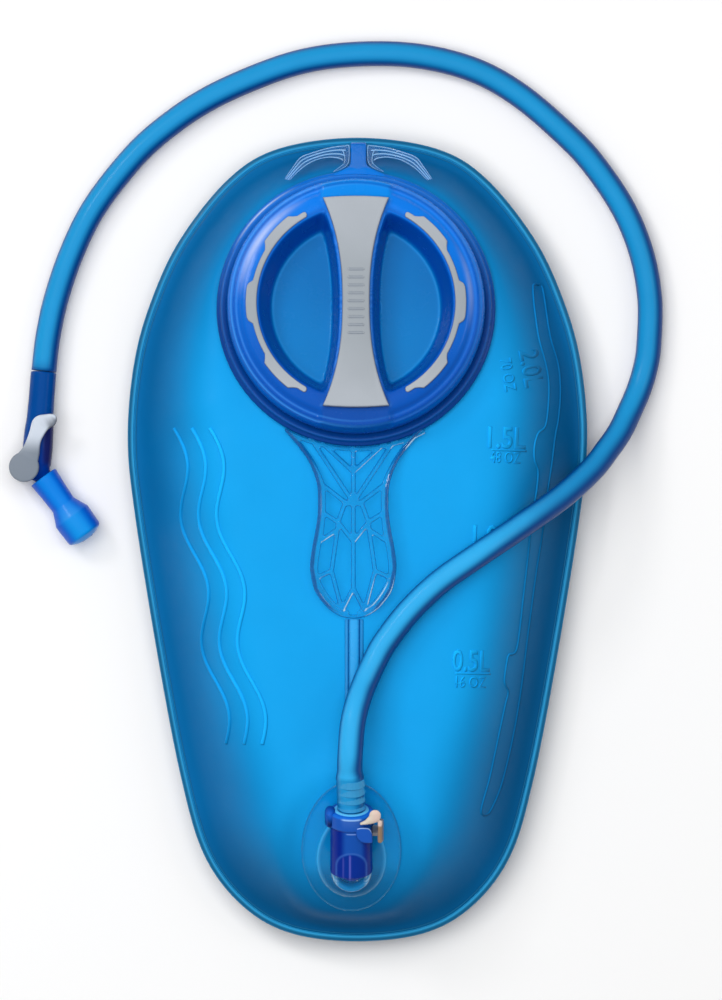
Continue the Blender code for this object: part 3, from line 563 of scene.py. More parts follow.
    @staticmethod
    def fuse(bm: bmesh.types.BMesh, voxel: float, relax: int = 3) -> bmesh.types.BMesh:
        """Melt overlapping solids into one smooth skin.

        Args:
            bm: the overlapping closed solids.
            voxel: size of the fused skin's faces.
            relax: rounds of smoothing.

        Returns:
            A new bmesh with the fused skin.
        """
        mesh = bpy.data.meshes.new("melt")
        bm.to_mesh(mesh)
        bm.free()
        melt = bpy.data.objects.new("melt", mesh)
        bpy.context.collection.objects.link(melt)
        remesh = melt.modifiers.new("melt", "REMESH")
        remesh.mode = "VOXEL"
        remesh.voxel_size = voxel
        done = bpy.data.meshes.new_from_object(melt.evaluated_get(bpy.context.evaluated_depsgraph_get()))
        out = bmesh.new()
        out.from_mesh(done)
        bpy.data.objects.remove(melt)
        bpy.data.meshes.remove(done)
        for _ in range(relax):
            bmesh.ops.smooth_vert(out, verts=out.verts, factor=0.5, use_axis_x=True, use_axis_y=True,
                                  use_axis_z=True)
        return out

    @staticmethod
    def piece(name: str, bm: bmesh.types.BMesh, finish: Finish, body: Body,
              replaces: Sequence[str] = (), place: Optional[Matrix] = None,
              paint: Optional[Painter] = None, smooth: float = 40) -> bpy.types.Object:
        """Dress a bmesh and put it on its body.

        Args:
            name: the piece's name.
            bm: its shape; it is freed.
            finish: what it is made of.
            body: the body it moves with.
            replaces: frame nodes it stands for.
            place: where its own frame goes.
            paint: colour at a point with a normal, both in its own frame.
            smooth: greatest angle in degrees shaded smooth.

        Returns:
            The finished object.
        """
        bm.normal_update()
        tones = [(*paint(vert.co, vert.normal), 1.0)[:4] for vert in bm.verts] if paint else None
        if place is not None:
            bmesh.ops.transform(bm, matrix=place, verts=bm.verts)
        mesh = bpy.data.meshes.new(name)
        bm.to_mesh(mesh)
        bm.free()
        mesh.shade_smooth()
        mesh.set_sharp_from_angle(angle=math.radians(smooth))
        if tones:
            layer = mesh.color_attributes.new("paint", "FLOAT_COLOR", "POINT")
            layer.data.foreach_set("color", np.array(tones, np.float32).ravel())
        mesh.materials.append(finish.material(finish.slot + ("_painted" if paint else "")))
        thing = bpy.data.objects.new(name, mesh)
        bpy.context.collection.objects.link(thing)
        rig.ride(thing, body.value)
        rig.slot(thing, finish.slot)
        if replaces:
            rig.replaces(thing, *replaces)
        LOG.info("%s: %d faces on %s", name, len(mesh.polygons), body.value)
        return thing


def soft_profile(points: Sequence[Point2], radius: float, steps: int = 4) -> list[Point2]:
    """Round the inner corners of an open profile.

    Args:
        points: corners of the profile.
        radius: reach of the rounding along each side.
        steps: points on each rounding.

    Returns:
        The rounded profile.
    """
    out = [points[0]]
    for before, corner, after in zip(points, points[1:], points[2:]):
        a, b, c = (np.array(p, float) for p in (before, corner, after))
        reach = min(radius, np.linalg.norm(a - b) * 0.45, np.linalg.norm(c - b) * 0.45)
        start = b + (a - b) / np.linalg.norm(a - b) * reach
        end = b + (c - b) / np.linalg.norm(c - b) * reach
        for t in np.linspace(0, 1, steps + 1):
            out.append(tuple((1 - t) ** 2 * start + 2 * t * (1 - t) * b + t * t * end))
    out.append(points[-1])
    return out


def smooth_path(points: Sequence[Sequence[float]], steps: int, closed: bool) -> np.ndarray:
    """Catmull-Rom curve through points.

    Args:
        points: the route's own points.
        steps: points made in each span.
        closed: whether the curve runs back to its start.

    Returns:
        The points of the curve, one per row.
    """
    knots = np.array(points, float)
    count = len(knots)
    if not closed:
        knots = np.vstack([2 * knots[0] - knots[1], knots, 2 * knots[-1] - knots[-2]])
    out = []
    for i in range(count if closed else count - 1):
        a, b, c, d = (knots[(i + k - closed) % len(knots)] for k in range(4))
        for t in np.arange(steps) / steps:
            out.append(0.5 * (2 * b + (c - a) * t + (2 * a - 5 * b + 4 * c - d) * t * t
                              + (3 * b - a - 3 * c + d) * t ** 3))
    if not closed:
        out.append(knots[-2])
    return np.array(out)


def evenly(points: np.ndarray, count: int, closed: bool) -> np.ndarray:
    """Points spaced evenly along a path.

    Args:
        points: the path.
        count: how many points to make.
        closed: whether the path runs back to its start.

    Returns:
        The spaced points.
    """
    if closed:
        points = np.vstack([points, points[:1]])
    along = np.concatenate([[0], np.cumsum(np.linalg.norm(np.diff(points, axis=0), axis=1))])
    where = np.linspace(0, along[-1], count, endpoint=not closed)
    return np.stack([np.interp(where, along, points[:, k]) for k in range(points.shape[1])], 1)


# Pouch


@dataclass
class Pouch:
    """Welded pouch: front and back film, the weld round them and the marks pressed into the front."""

    half_outline: tuple[Point2, ...] = (
        (0, 166.5), (32.6, 162), (53.4, 149.5), (73.4, 124.5), (85.2, 99.6), (92.3, 74.6), (95.2, 43.5),
        (92.5, 12.3), (82.5, -50), (72.8, -100), (63.4, -131), (48, -151.5), (28, -163), (0, -166.5),
    )
    rim_z: float = 14 * MM
    rim_width: float = 3.2 * MM
    rim_thick: float = 2.8 * MM
    film: float = 0.5 * MM
    crown_z: float = 52 * MM
    shoulder: float = 52 * MM
    back_shoulder: float = 32 * MM
    collar_at: Vector = field(default_factory=lambda: Vector((-0.6 * MM, 94.8 * MM, 43 * MM)))
    collar_tilt: float = math.radians(8.5)
    ring_radius: float = 57.4 * MM
    hole_radius: float = 47.3 * MM
    port_at: Vector = field(default_factory=lambda: Vector((-2.5 * MM, -128 * MM, 40.8 * MM)))
    port_tilt: float = math.radians(22)
    around: int = 288
    inwards: int = 58
    crown_colour: Colour = (0.006, 0.355, 0.81)
    # Colour by the weld: partly the film's deeper tint, partly painted shade on the sloping shoulders.
    deep_tint_and_shade_colour: Colour = (0.0008, 0.132, 0.365)
    # Share of painted shade added on the right side and at the port end.
    far_shade: float = 0.34

    def __post_init__(self) -> None:
        """Work out the fine outline from the half that is stated."""
        half = [(x * MM, y * MM) for x, y in self.half_outline]
        full = half + [(-x, y) for x, y in reversed(half[1:-1])]
        self.fine = evenly(smooth_path(full, 24, True), self.around * 2, True)

    @property
    def collar_frame(self) -> Matrix:
        """Frame of the fill port, tilted towards the cap end."""
        return Matrix.Translation(self.collar_at) @ Matrix.Rotation(-self.collar_tilt, 4, "X")

    @property
    def port_frame(self) -> Matrix:
        """Frame of the exit port on the slope at the port end."""
        return Matrix.Translation(self.port_at) @ Matrix.Rotation(self.port_tilt, 4, "X")

    def outline(self, inset: float) -> np.ndarray:
        """Loop of points round the outline, moved inwards.

        Args:
            inset: how far inwards.

        Returns:
            The loop, one point per row.
        """
        ahead, behind = np.roll(self.fine, -1, 0), np.roll(self.fine, 1, 0)
        along = (ahead - behind) / np.linalg.norm(ahead - behind, axis=1)[:, None]
        inwards = np.stack([along[:, 1], -along[:, 0]], 1)
        return (self.fine + inwards * inset)[::2]

    def rim_distance(self, spots: np.ndarray) -> np.ndarray:
        """Distance of points inside the pouch from its outline."""
        start, end = self.fine, np.roll(self.fine, -1, 0)
        span = end - start
        best = np.full(len(spots), np.inf)
        for low in range(0, len(spots), 2000):
            part = spots[low:low + 2000, None, :] - start[None]
            share = np.clip((part * span).sum(2) / (span * span).sum(1), 0, 1)
            gap = np.linalg.norm(part - span * share[..., None], axis=2)
            best[low:low + 2000] = gap.min(1)
        return best

    def collar_plane(self, y: float) -> float:
        """Height of the fill port's base plane."""
        return self.collar_at.z - (y - self.collar_at.y) * math.tan(self.collar_tilt)

    def crown(self, y: float) -> float:
        """Height of the full pouch's middle, drawn down to the tilted fill port."""
        top = self.crown_z - 0.12 * (y - 0.03) ** 2
        plane = self.collar_plane(y)
        blend = 2 * MM
        share = max(blend - abs(plane - top), 0) / blend
        return min(plane, top) - share * share * blend / 4

    def front_heights(self, spots: np.ndarray) -> np.ndarray:
        """Heights of the front film's outer face.

        Args:
            spots: plan positions, one per row.

        Returns:
            One height for each.
        """
        rim = self.rim_z + self.rim_thick / 2 - 0.2 * MM
        insets = self.rim_distance(spots)
        out = np.empty(len(spots))
        for i, ((x, y), distance) in enumerate(zip(spots, insets)):
            to_collar = math.hypot(x - self.collar_at.x, y - self.collar_at.y) - self.ring_radius
            if to_collar <= 0:
                out[i] = self.collar_plane(y)
                continue
            inset = max(distance - self.rim_width, 0)
            width = min(self.shoulder, inset + to_collar)
            narrow = min(max(1 - (width - 15 * MM) / (30 * MM), 0), 1)
            share = inset / max(width, 0.01 * MM)
            full = 1 - (1 - min(share, 1)) ** 4 * (1 + 4 * min(share, 1))
            height = rim + (self.crown(y) - rim) * (narrow * ease(share) + (1 - narrow) * full)
            oval = math.hypot((x - self.port_at.x) / (21 * MM), (y - self.port_at.y) / (27 * MM))
            plane = self.port_at.z + (y - self.port_at.y) * math.tan(self.port_tilt) - 0.5 * MM
            flat = 1 - ease((oval - 1.06) / 0.6)
            near = ease((distance - 5 * MM) / (8 * MM))
            height += (plane - height) * flat * near
            out[i] = height + self.ripple(x, y, distance, to_collar)
        return out

    def ripple(self, x: float, y: float, distance: float, to_collar: float) -> float:
        """Slight puckers of the film along the weld and round the fill port."""
        angle = math.atan2(y, x)
        weld = bell(distance, 9 * MM, 6 * MM) * 0.12 * MM
        wave = math.sin(angle * 46 + 3 * math.sin(angle * 5)) * math.sin(angle * 7 + 1)
        turn = math.atan2(y - self.collar_at.y, x - self.collar_at.x)
        pull = math.exp(-to_collar / (12 * MM)) * (1 - math.exp(-to_collar / (2 * MM))) * 0.35 * MM
        return weld * wave + pull * math.sin(turn * 9 + math.sin(turn * 4)) * ease(distance / (16 * MM))

    def back_heights(self, spots: np.ndarray) -> np.ndarray:
        """Heights of the back film's outer face, flat on the surface in the middle."""
        edge = self.rim_z - self.rim_thick / 2 + 0.2 * MM
        share = np.clip((self.rim_distance(spots) - self.rim_width) / self.back_shoulder, 0, 1)
        return edge * (1 - share) ** 4 * (1 + 4 * share)

    def front_points(self, spots: np.ndarray) -> list[Vector]:
        """Points on the front film above plan positions."""
        return [Vector((x, y, z)) for (x, y), z in zip(spots, self.front_heights(spots))]

    def film_colours(self, spots: np.ndarray) -> np.ndarray:
        """Film colours at plan positions, one row each: light on the crown and deep by the weld, the deep colour
        partly the film's tint seen through the slope and partly painted shade, with more painted shade on the right
        side and at the port end.
        """
        port_end = np.clip((-50 * MM - spots[:, 1]) / (60 * MM), 0, 1)
        wide = 39 * MM + 12 * MM * port_end * port_end * (3 - 2 * port_end)
        share = np.clip((self.rim_distance(spots) - 6 * MM) / (wide - 6 * MM), 0, 1)
        tone = (share * share * (3 - 2 * share))[:, None]
        # Painted shade: the right side and the port end are darkened, as if the light came from the upper left.
        right = np.clip((spots[:, 0] - 20 * MM) / (50 * MM), 0, 1)
        right *= np.clip((90 * MM - spots[:, 1]) / (60 * MM), 0, 1)
        low = np.clip((-110 * MM - spots[:, 1]) / (40 * MM), 0, 1)
        deep_tint_and_shade = np.array(self.deep_tint_and_shade_colour) * (1 - self.far_shade * np.maximum(right, low))[:, None]
        return deep_tint_and_shade * (1 - tone) + np.array(self.crown_colour) * tone

    def _colour_loops(self, thing: bpy.types.Object) -> None:
        """Paint a film's vertices all at once."""
        mesh = thing.data
        places = np.empty(len(mesh.vertices) * 3)
        mesh.vertices.foreach_get("co", places)
        spots = places.reshape(-1, 3)[:, :2]
        colours = np.ones((len(spots), 4), np.float32)
        colours[:, :3] = self.film_colours(spots)
        layer = mesh.color_attributes.new("paint", "FLOAT_COLOR", "POINT")
        layer.data.foreach_set("color", colours.ravel())
        mesh.materials.clear()
        mesh.materials.append(FILM.material("film_blue_painted"))

    def make_front(self) -> bpy.types.Object:
        """Front film from the weld over the shoulder to the hole of the fill port.

        Returns:
            The film, declared as a sheet.
        """
        rim = self.outline(self.rim_width - 0.4 * MM)
        centre = np.array(self.collar_at.xy)
        away = rim - centre
        reach = np.linalg.norm(away, axis=1)
        ray = away / reach[:, None]
        free = (reach - self.ring_radius)[:, None]
        loops = [rim - ray * free * v ** 1.5 for v in np.linspace(0, 1, self.inwards)]
        loops += [centre + ray * radius * MM for radius in (54, 50.5, self.hole_radius / MM)]
        heights = self.front_heights(np.vstack(loops)).reshape(len(loops), -1)
        bm = Mould.grow([
            [Vector((x, y, z)) for (x, y), z in zip(loop, level)] for loop, level in zip(loops, heights)
        ])
        self._face(bm, True)
        film = Mould.piece("front_film_skin", bm, FILM, Body.BLADDER, ["front_film"], smooth=180)
        self._colour_loops(film)
        self._wall(film)
        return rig.sheet(film, flat=(0.1904, 0.333), held="stretched", area=0.0505)

    def make_back(self) -> bpy.types.Object:
        """Back film, a shallow dish that lies flat.

        Returns:
            The film, declared as a sheet.
        """
        insets = self.rim_width - 0.4 * MM + self.back_shoulder * 1.05 * np.linspace(0, 1, 26) ** 1.1
        loops = [self.outline(inset) for inset in insets]
        loops += [loops[-1] * share for share in (0.8, 0.5, 0.2)]
        points = [
            [Vector((x, y, z)) for (x, y), z in zip(loop, self.back_heights(loop))] for loop in loops
        ]
        bm = Mould.grow(points, fill_last=True)
        self._face(bm, False)
        film = Mould.piece("back_film_skin", bm, FILM, Body.BLADDER, ["back_film"], smooth=180)
        self._colour_loops(film)
        self._wall(film)
        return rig.sheet(film, flat=(0.1904, 0.333), held="stretched", area=0.0505)

    @staticmethod
    def _face(bm: bmesh.types.BMesh, up: bool) -> None:
        """Turn an open film's faces up or down."""
        bm.normal_update()
        if (sum(face.normal.z * face.calc_area() for face in bm.faces) > 0) != up:
            bmesh.ops.reverse_faces(bm, faces=bm.faces)

    def _wall(self, thing: bpy.types.Object) -> None:
        """Give a film its thickness, inwards."""
        wall = thing.modifiers.new("wall", "SOLIDIFY")
        wall.thickness = self.film
        wall.offset = -1

    def make_rim(self) -> bpy.types.Object:
        """Weld band with its pressed line inside and its thin trimmed edge outside."""
        section = [
            (0.9, -1.4), (0.25, -1.1), (0, -0.5), (0, 0.4), (0.3, 0.95), (0.8, 1.15), (1.3, 1.4),
            (1.9, 1.45), (2.3, 1.35), (2.6, 0.85), (2.9, 0.8), (3.3, 1.3), (3.6, 1.4), (3.6, -1.2),
            (0.9, -1.4),
        ]
        loops = [
            [Vector((x, y, self.rim_z + z * MM)) for x, y in self.outline(inset * MM)]
            for inset, z in section
        ]
        bm = Mould.grow(loops, closed_on_itself=True)
        return Mould.piece("rim_weld_band", bm, RIM, Body.BLADDER, ["rim_weld"], paint=self.rim_colour)

    def rim_colour(self, point: Vector, normal: Vector) -> Colour:
        """Weld band: dark trimmed edge, lighter middle, dark pressed line."""
        distance = float(self.rim_distance(np.array([[point.x, point.y]]))[0]) / MM
        light, edge_tone, dark = (0.014, 0.30, 0.60), (0.006, 0.17, 0.36), (0.0005, 0.05, 0.13)
        groove = bell(distance, 1.0, 0.28)
        inner = ease((distance - 3.1) / 0.45)
        band = mix(edge_tone, light, ease((distance - 1.1) / 0.6))
        return mix(band, dark, min(groove + inner, 1))


# Marks pressed into the front film


@dataclass
class Scale:
    """Level scale on the right of the front film: a long loop with a tick at each half litre, and
    its figures. A plain wave mark stands on the left."""

    pouch: Pouch
    line: float = 0.6 * MM
    crest: float = 0.42 * MM
    border: float = 0.28 * MM
    wave_top: float = 46.0
    wave_foot: float = -84.0
    wave_gap: float = 7.5
    wave_swing: float = 3.4
    wave_turns: float = 2.5

    def _track(self, name: str, plan: Sequence[Point2], closed: bool, radius: float) -> None:
        """Raised weld line along a plan route.

        Args:
            name: the piece's name.
            plan: route points in millimetres.
            closed: whether the line runs back to its start.
            radius: half its width.
        """
        path = smooth_path([(x * MM, y * MM) for x, y in plan], 8, closed)
        spots = evenly(path, max(int(len(path) * 1.2), 24), closed)
        middle = self.pouch.front_points(spots)
        loops = Mould.hoops(middle, [radius] * len(middle), 8, 0.75, closed)
        bm = Mould.grow(loops, fill_first=not closed, fill_last=not closed, closed_on_itself=closed)
        Mould.piece(name, bm, MARKS, Body.BLADDER, paint=self.line_colour, smooth=180)

    def line_colour(self, point: Vector, normal: Vector) -> Colour:
        """Film colour with painted light and shade: lighter where the line faces the upper left and up, darker on the
        sides that face away.
        """
        base = self.pouch.film_colours(np.array([point.xy]))[0]
        # Painted light from the upper left and from above, with painted shade on the other sides.
        painted_light = 0.7 * normal.dot(Vector((-0.6, 0.6, 0))) + 0.4 * max(normal.z, 0) - 0.16
        return tuple(min(channel * (1 + painted_light), 1) for channel in base)

    def make_loop(self) -> None:
        """Closed loop of the scale, with a step inwards at each level."""
        outer = [(76.7, 103.7), (79.5, 85.0), (83.0, 72.5), (83.9, 61.7), (83.1, 50.5), (81.7, 42.7),
                 (80.3, 31.6), (78.7, 21), (76.6, 4), (73.8, -14), (70.6, -38), (67.6, -62), (64.2, -82),
                 (59.6, -101), (55.2, -111.5)]
        tip = [(52.9, -113.6), (51.0, -111.6)]
        inner = [(54.6, -98), (58.0, -82), (61.0, -68), (62.2, -62.5), (60.6, -58.5), (61.6, -50),
                 (62.4, -47.4), (65.8, -44.6), (68.6, -22), (70.2, -8), (71.2, 2), (72.6, 12.7), (73.9, 21),
                 (74.4, 28.6), (72.9, 33.0), (72.9, 38.5), (74.4, 43.8), (77.7, 47.6), (79.0, 61.7),
                 (78.0, 71.5), (74.5, 85.0), (72.5, 103.6)]
        top = [(74.6, 105.4)]
        self._track("scale_loop", outer + tip + inner + top, True, self.line)

    def make_figures(self) -> None:
        """Raised level figures, each by its half litre."""
        rows = [
            ("2.0L", 71.7, 70.7, 15.9, 8.6, -80), ("70 OZ", 62.0, 67.8, 14.0, 5.2, -80),
            ("1.5L", 61.5, 41.9, 15.8, 9.2, -2), ("48 OZ", 60.9, 33.9, 12.8, 5.0, -2),
            ("1.0L", 55.3, 1.6, 15.8, 9.2, -2), ("0.5L", 46.8, -49.7, 15.8, 9.2, -2),
            ("16 OZ", 46.8, -58.4, 12.8, 5.0, -2),
        ]
        for text, x, y, wide, tall, turn in rows:
            self._figure(text, Vector((x, y)) * MM, Vector((wide, tall)) * MM, math.radians(turn))
        for name, x, y in (("level_1_5l_line", 62.2, 36.8), ("level_0_5l_line", 47.4, -54.9)):
            self._track(name, [(x - 7.2, y + 0.2), (x, y), (x + 7.2, y - 0.3)], False, self.line * 0.7)

    def _figure(self, text: str, middle: Vector, size: Vector, turn: float) -> None:
        """One raised figure, laid on the film.

        Args:
            text: the characters.
            middle: plan position of its middle.
            size: length and height of the line of characters.
            turn: turn about Z.
        """
        curve = bpy.data.curves.new("figure", "FONT")
        curve.body = text
        curve.align_x, curve.align_y = "CENTER", "CENTER"
        curve.resolution_u = 3
        curve.offset = 0.03
        guide = bpy.data.objects.new("figure", curve)
        bpy.context.collection.objects.link(guide)
        flat = bpy.data.meshes.new_from_object(guide.evaluated_get(bpy.context.evaluated_depsgraph_get()))
        bpy.data.objects.remove(guide)
        bm = bmesh.new()
        bm.from_mesh(flat)
        bmesh.ops.remove_doubles(bm, verts=bm.verts, dist=0.0005)
        low, high = (Vector((pick(v.co.x for v in bm.verts), pick(v.co.y for v in bm.verts), 0))
                     for pick in (min, max))
        bmesh.ops.translate(bm, verts=bm.verts, vec=-(low + high) / 2)
        bmesh.ops.scale(bm, verts=bm.verts, vec=(size.x / (high.x - low.x), size.y / (high.y - low.y), 1))
        bm.normal_update()
        down = [face for face in bm.faces if face.normal.z < 0]
        bmesh.ops.reverse_faces(bm, faces=down)
        inner = bm.faces[:]
        bmesh.ops.inset_region(bm, faces=inner, thickness=self.border, depth=0, use_even_offset=True,
                               use_boundary=True)
        for vert in {vert for face in inner for vert in face.verts}:
            vert.co.z = 1
        bmesh.ops.rotate(bm, verts=bm.verts, matrix=Matrix.Rotation(turn, 3, "Z"))
        bmesh.ops.translate(bm, verts=bm.verts, vec=(*middle, 0))
        made = bmesh.ops.extrude_face_region(bm, geom=bm.faces[:])["geom"]
        upper = {item for item in made if isinstance(item, bmesh.types.BMVert)}
        spots = np.array([[vert.co.x, vert.co.y] for vert in bm.verts])
        for vert, point in zip(bm.verts, self.pouch.front_points(spots)):
            crest = self.crest if vert.co.z > 0.5 else -0.05 * MM
            vert.co.z = point.z + (crest if vert in upper else -0.4 * MM)
        bmesh.ops.recalc_face_normals(bm, faces=bm.faces)
        name = "level_" + text.replace(".", "_").replace(" ", "_").lower()
        Mould.piece(name, bm, MARKS, Body.BLADDER, paint=self.line_colour, smooth=30)

    def make_waves(self) -> None:
        """Plain wave mark down the left of the film: three nested lines."""
        tall = self.wave_top - self.wave_foot
        for number in range(3):
            plan = []
            for y in np.linspace(self.wave_top, self.wave_foot, 27):
                lean = -68 + (self.wave_top - y) * 0.165 + (number - 1) * self.wave_gap
                turns = (y - self.wave_foot) / tall * self.wave_turns
                plan.append((lean + self.wave_swing * math.sin(turns * math.tau), y))
            self._track(f"wave_line_{number + 1}", plan, False, self.line * 1.5)


# Fill port


@dataclass
class FillPort:
    """Neck with its thread, the tether ring round it and the tab that ties it to the pouch."""

    pouch: Pouch
    thread_starts: int = 4
    thread_turn: float = math.radians(78)
    thread_radius: float = 44.2 * MM
    thread_low: float = 3.6
    thread_pitch: float = 2.6
    tab_top: float = 164.2 * MM
    tab_foot: float = 149.3 * MM
    tab_middle: float = 0.4 * MM

    def make_neck(self) -> None:
        """Neck and flange, with four starts of a quarter-turn thread."""
        profile = [
            (44.3, 8.4), (44.3, -1.3), (54, -1.3), (54, -3.8), (46, -4.6), (44, -8), (41, -8), (41, 8.6),
            (41.5, 9), (43.8, 9),
        ]
        bm = Mould.turn(profile, 144)
        for start in range(self.thread_starts):
            base = start * math.tau / self.thread_starts
            steps = np.linspace(0, self.thread_turn, 20)
            loops = []
            for i, a in enumerate(steps):
                fade = ease(min(i, len(steps) - 1 - i) / 3) * 0.95 + 0.05
                z = (self.thread_low + self.thread_pitch * i / (len(steps) - 1)) * MM
                out = Vector((math.cos(base + a), math.sin(base + a), 0))
                middle = out * self.thread_radius + Vector((0, 0, z))
                loops.append([
                    middle + out * (1.3 * MM * fade * max(math.cos(b), -0.2))
                    + Vector((0, 0, 0.9 * MM * fade * math.sin(b)))
                    for b in circle(8)
                ])
            Mould.absorb(bm, Mould.grow(loops, fill_first=True, fill_last=True))
        Mould.piece("fill_neck", bm, COLLAR, Body.BLADDER, ["fill_collar"], self.pouch.collar_frame)

    def make_ring(self) -> None:
        """Tether ring with its raised lip."""
        profile = soft_profile(
            [(50.5, 0.4), (50.5, 4.6), (54.6, 5.0), (55.4, 5.0), (56.0, 3.6), (57.2, 3.2), (57.4, 1.6),
             (56.6, 0.4), (50.5, 0.4)], 0.5)[:-1]
        bm = Mould.turn(profile, 160)
        Mould.piece("tether_ring", bm, CAP, Body.RING, ["cap_leash_ring"], self.pouch.collar_frame,
                    paint=self.ring_colour)

    def ring_colour(self, point: Vector, normal: Vector) -> Colour:
        """Deep blue with painted light: lighter towards +Y where the light falls, lighter on the raised lip, and a
        painted highlight on the upper left.
        """
        radius = math.hypot(point.x, point.y) / MM
        # Painted light: lighter on the raised lip, and lighter towards +Y, the side the light comes from.
        painted_lip_light = bell(radius, 55.2, 0.45)
        top = ease((point.y / MM + 10) / 65)
        base = mix((0.0, 0.045, 0.25), (0.0, 0.15, 0.62), top)
        turn = math.degrees(math.atan2(point.y, point.x))
        # Painted highlight on the upper left of the ring's outer edge.
        glint = bell(radius, 56.0, 0.4) * ease(1 - abs(turn - 135) / 22)
        return mix(mix(base, (0.02, 0.22, 0.75), painted_lip_light * (0.25 + 0.4 * top)), (0.55, 0.70, 1.0), glint * 0.8)

    def make_tab(self, wing_height: Callable[[float], float]) -> None:
        """Tab that flares into the ring, and stretches between pouch and ring as the cap is lifted."""
        rows = []
        for v in np.linspace(0, 1, 22):
            y = self.tab_top + (self.tab_foot - self.tab_top) * v
            flare = 9.0 * MM * ease((v - 0.5) / 0.5) ** 2
            half = 3.2 * MM + flare - 0.3 * MM * (v < 0.04)
            thick = (0.9 if 0.03 < v < 0.97 else 0.5) * MM
            z = wing_height(y) + 0.1 * MM
            rows.append([
                Vector((self.tab_middle + half * math.copysign(abs(math.cos(a)) ** 0.45, math.cos(a)), y,
                        z + thick * math.copysign(abs(math.sin(a)) ** 0.8, math.sin(a))))
                for a in circle(20)
            ])
        bm = Mould.grow(rows, fill_first=True, fill_last=True)
        # Painted light and shade: the tab is lighter where it faces up and darker down its sides.
        tab = Mould.piece("tether_tab", bm, CAP, Body.BLADDER, ["leash_tab"],
                          paint=lambda p, n: mix((0.0, 0.12, 0.55), (0.001, 0.20, 0.74), max(n.z, 0)))
        tab.parent = None
        tab.matrix_world = Matrix()
        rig.blend(tab, Body.BLADDER.value, Body.RING.value,
                 start=(0, 163.2 * MM, wing_height(163.2 * MM)), end=(0, 152 * MM, wing_height(152 * MM)))


# Cap


def grip_paint_with_shade(point: Vector, normal: Vector) -> Colour:
    """Light grey rubber, paler towards its ends, with painted shade down its sides."""
    top = mix((0.325, 0.36, 0.395), (0.40, 0.435, 0.48), ease((abs(point.y / MM) - 8) / 30))
    # Painted shade: darker where the surface turns away from up.
    return mix((0.13, 0.17, 0.25), top, ease(normal.z * 1.3 - 0.2))


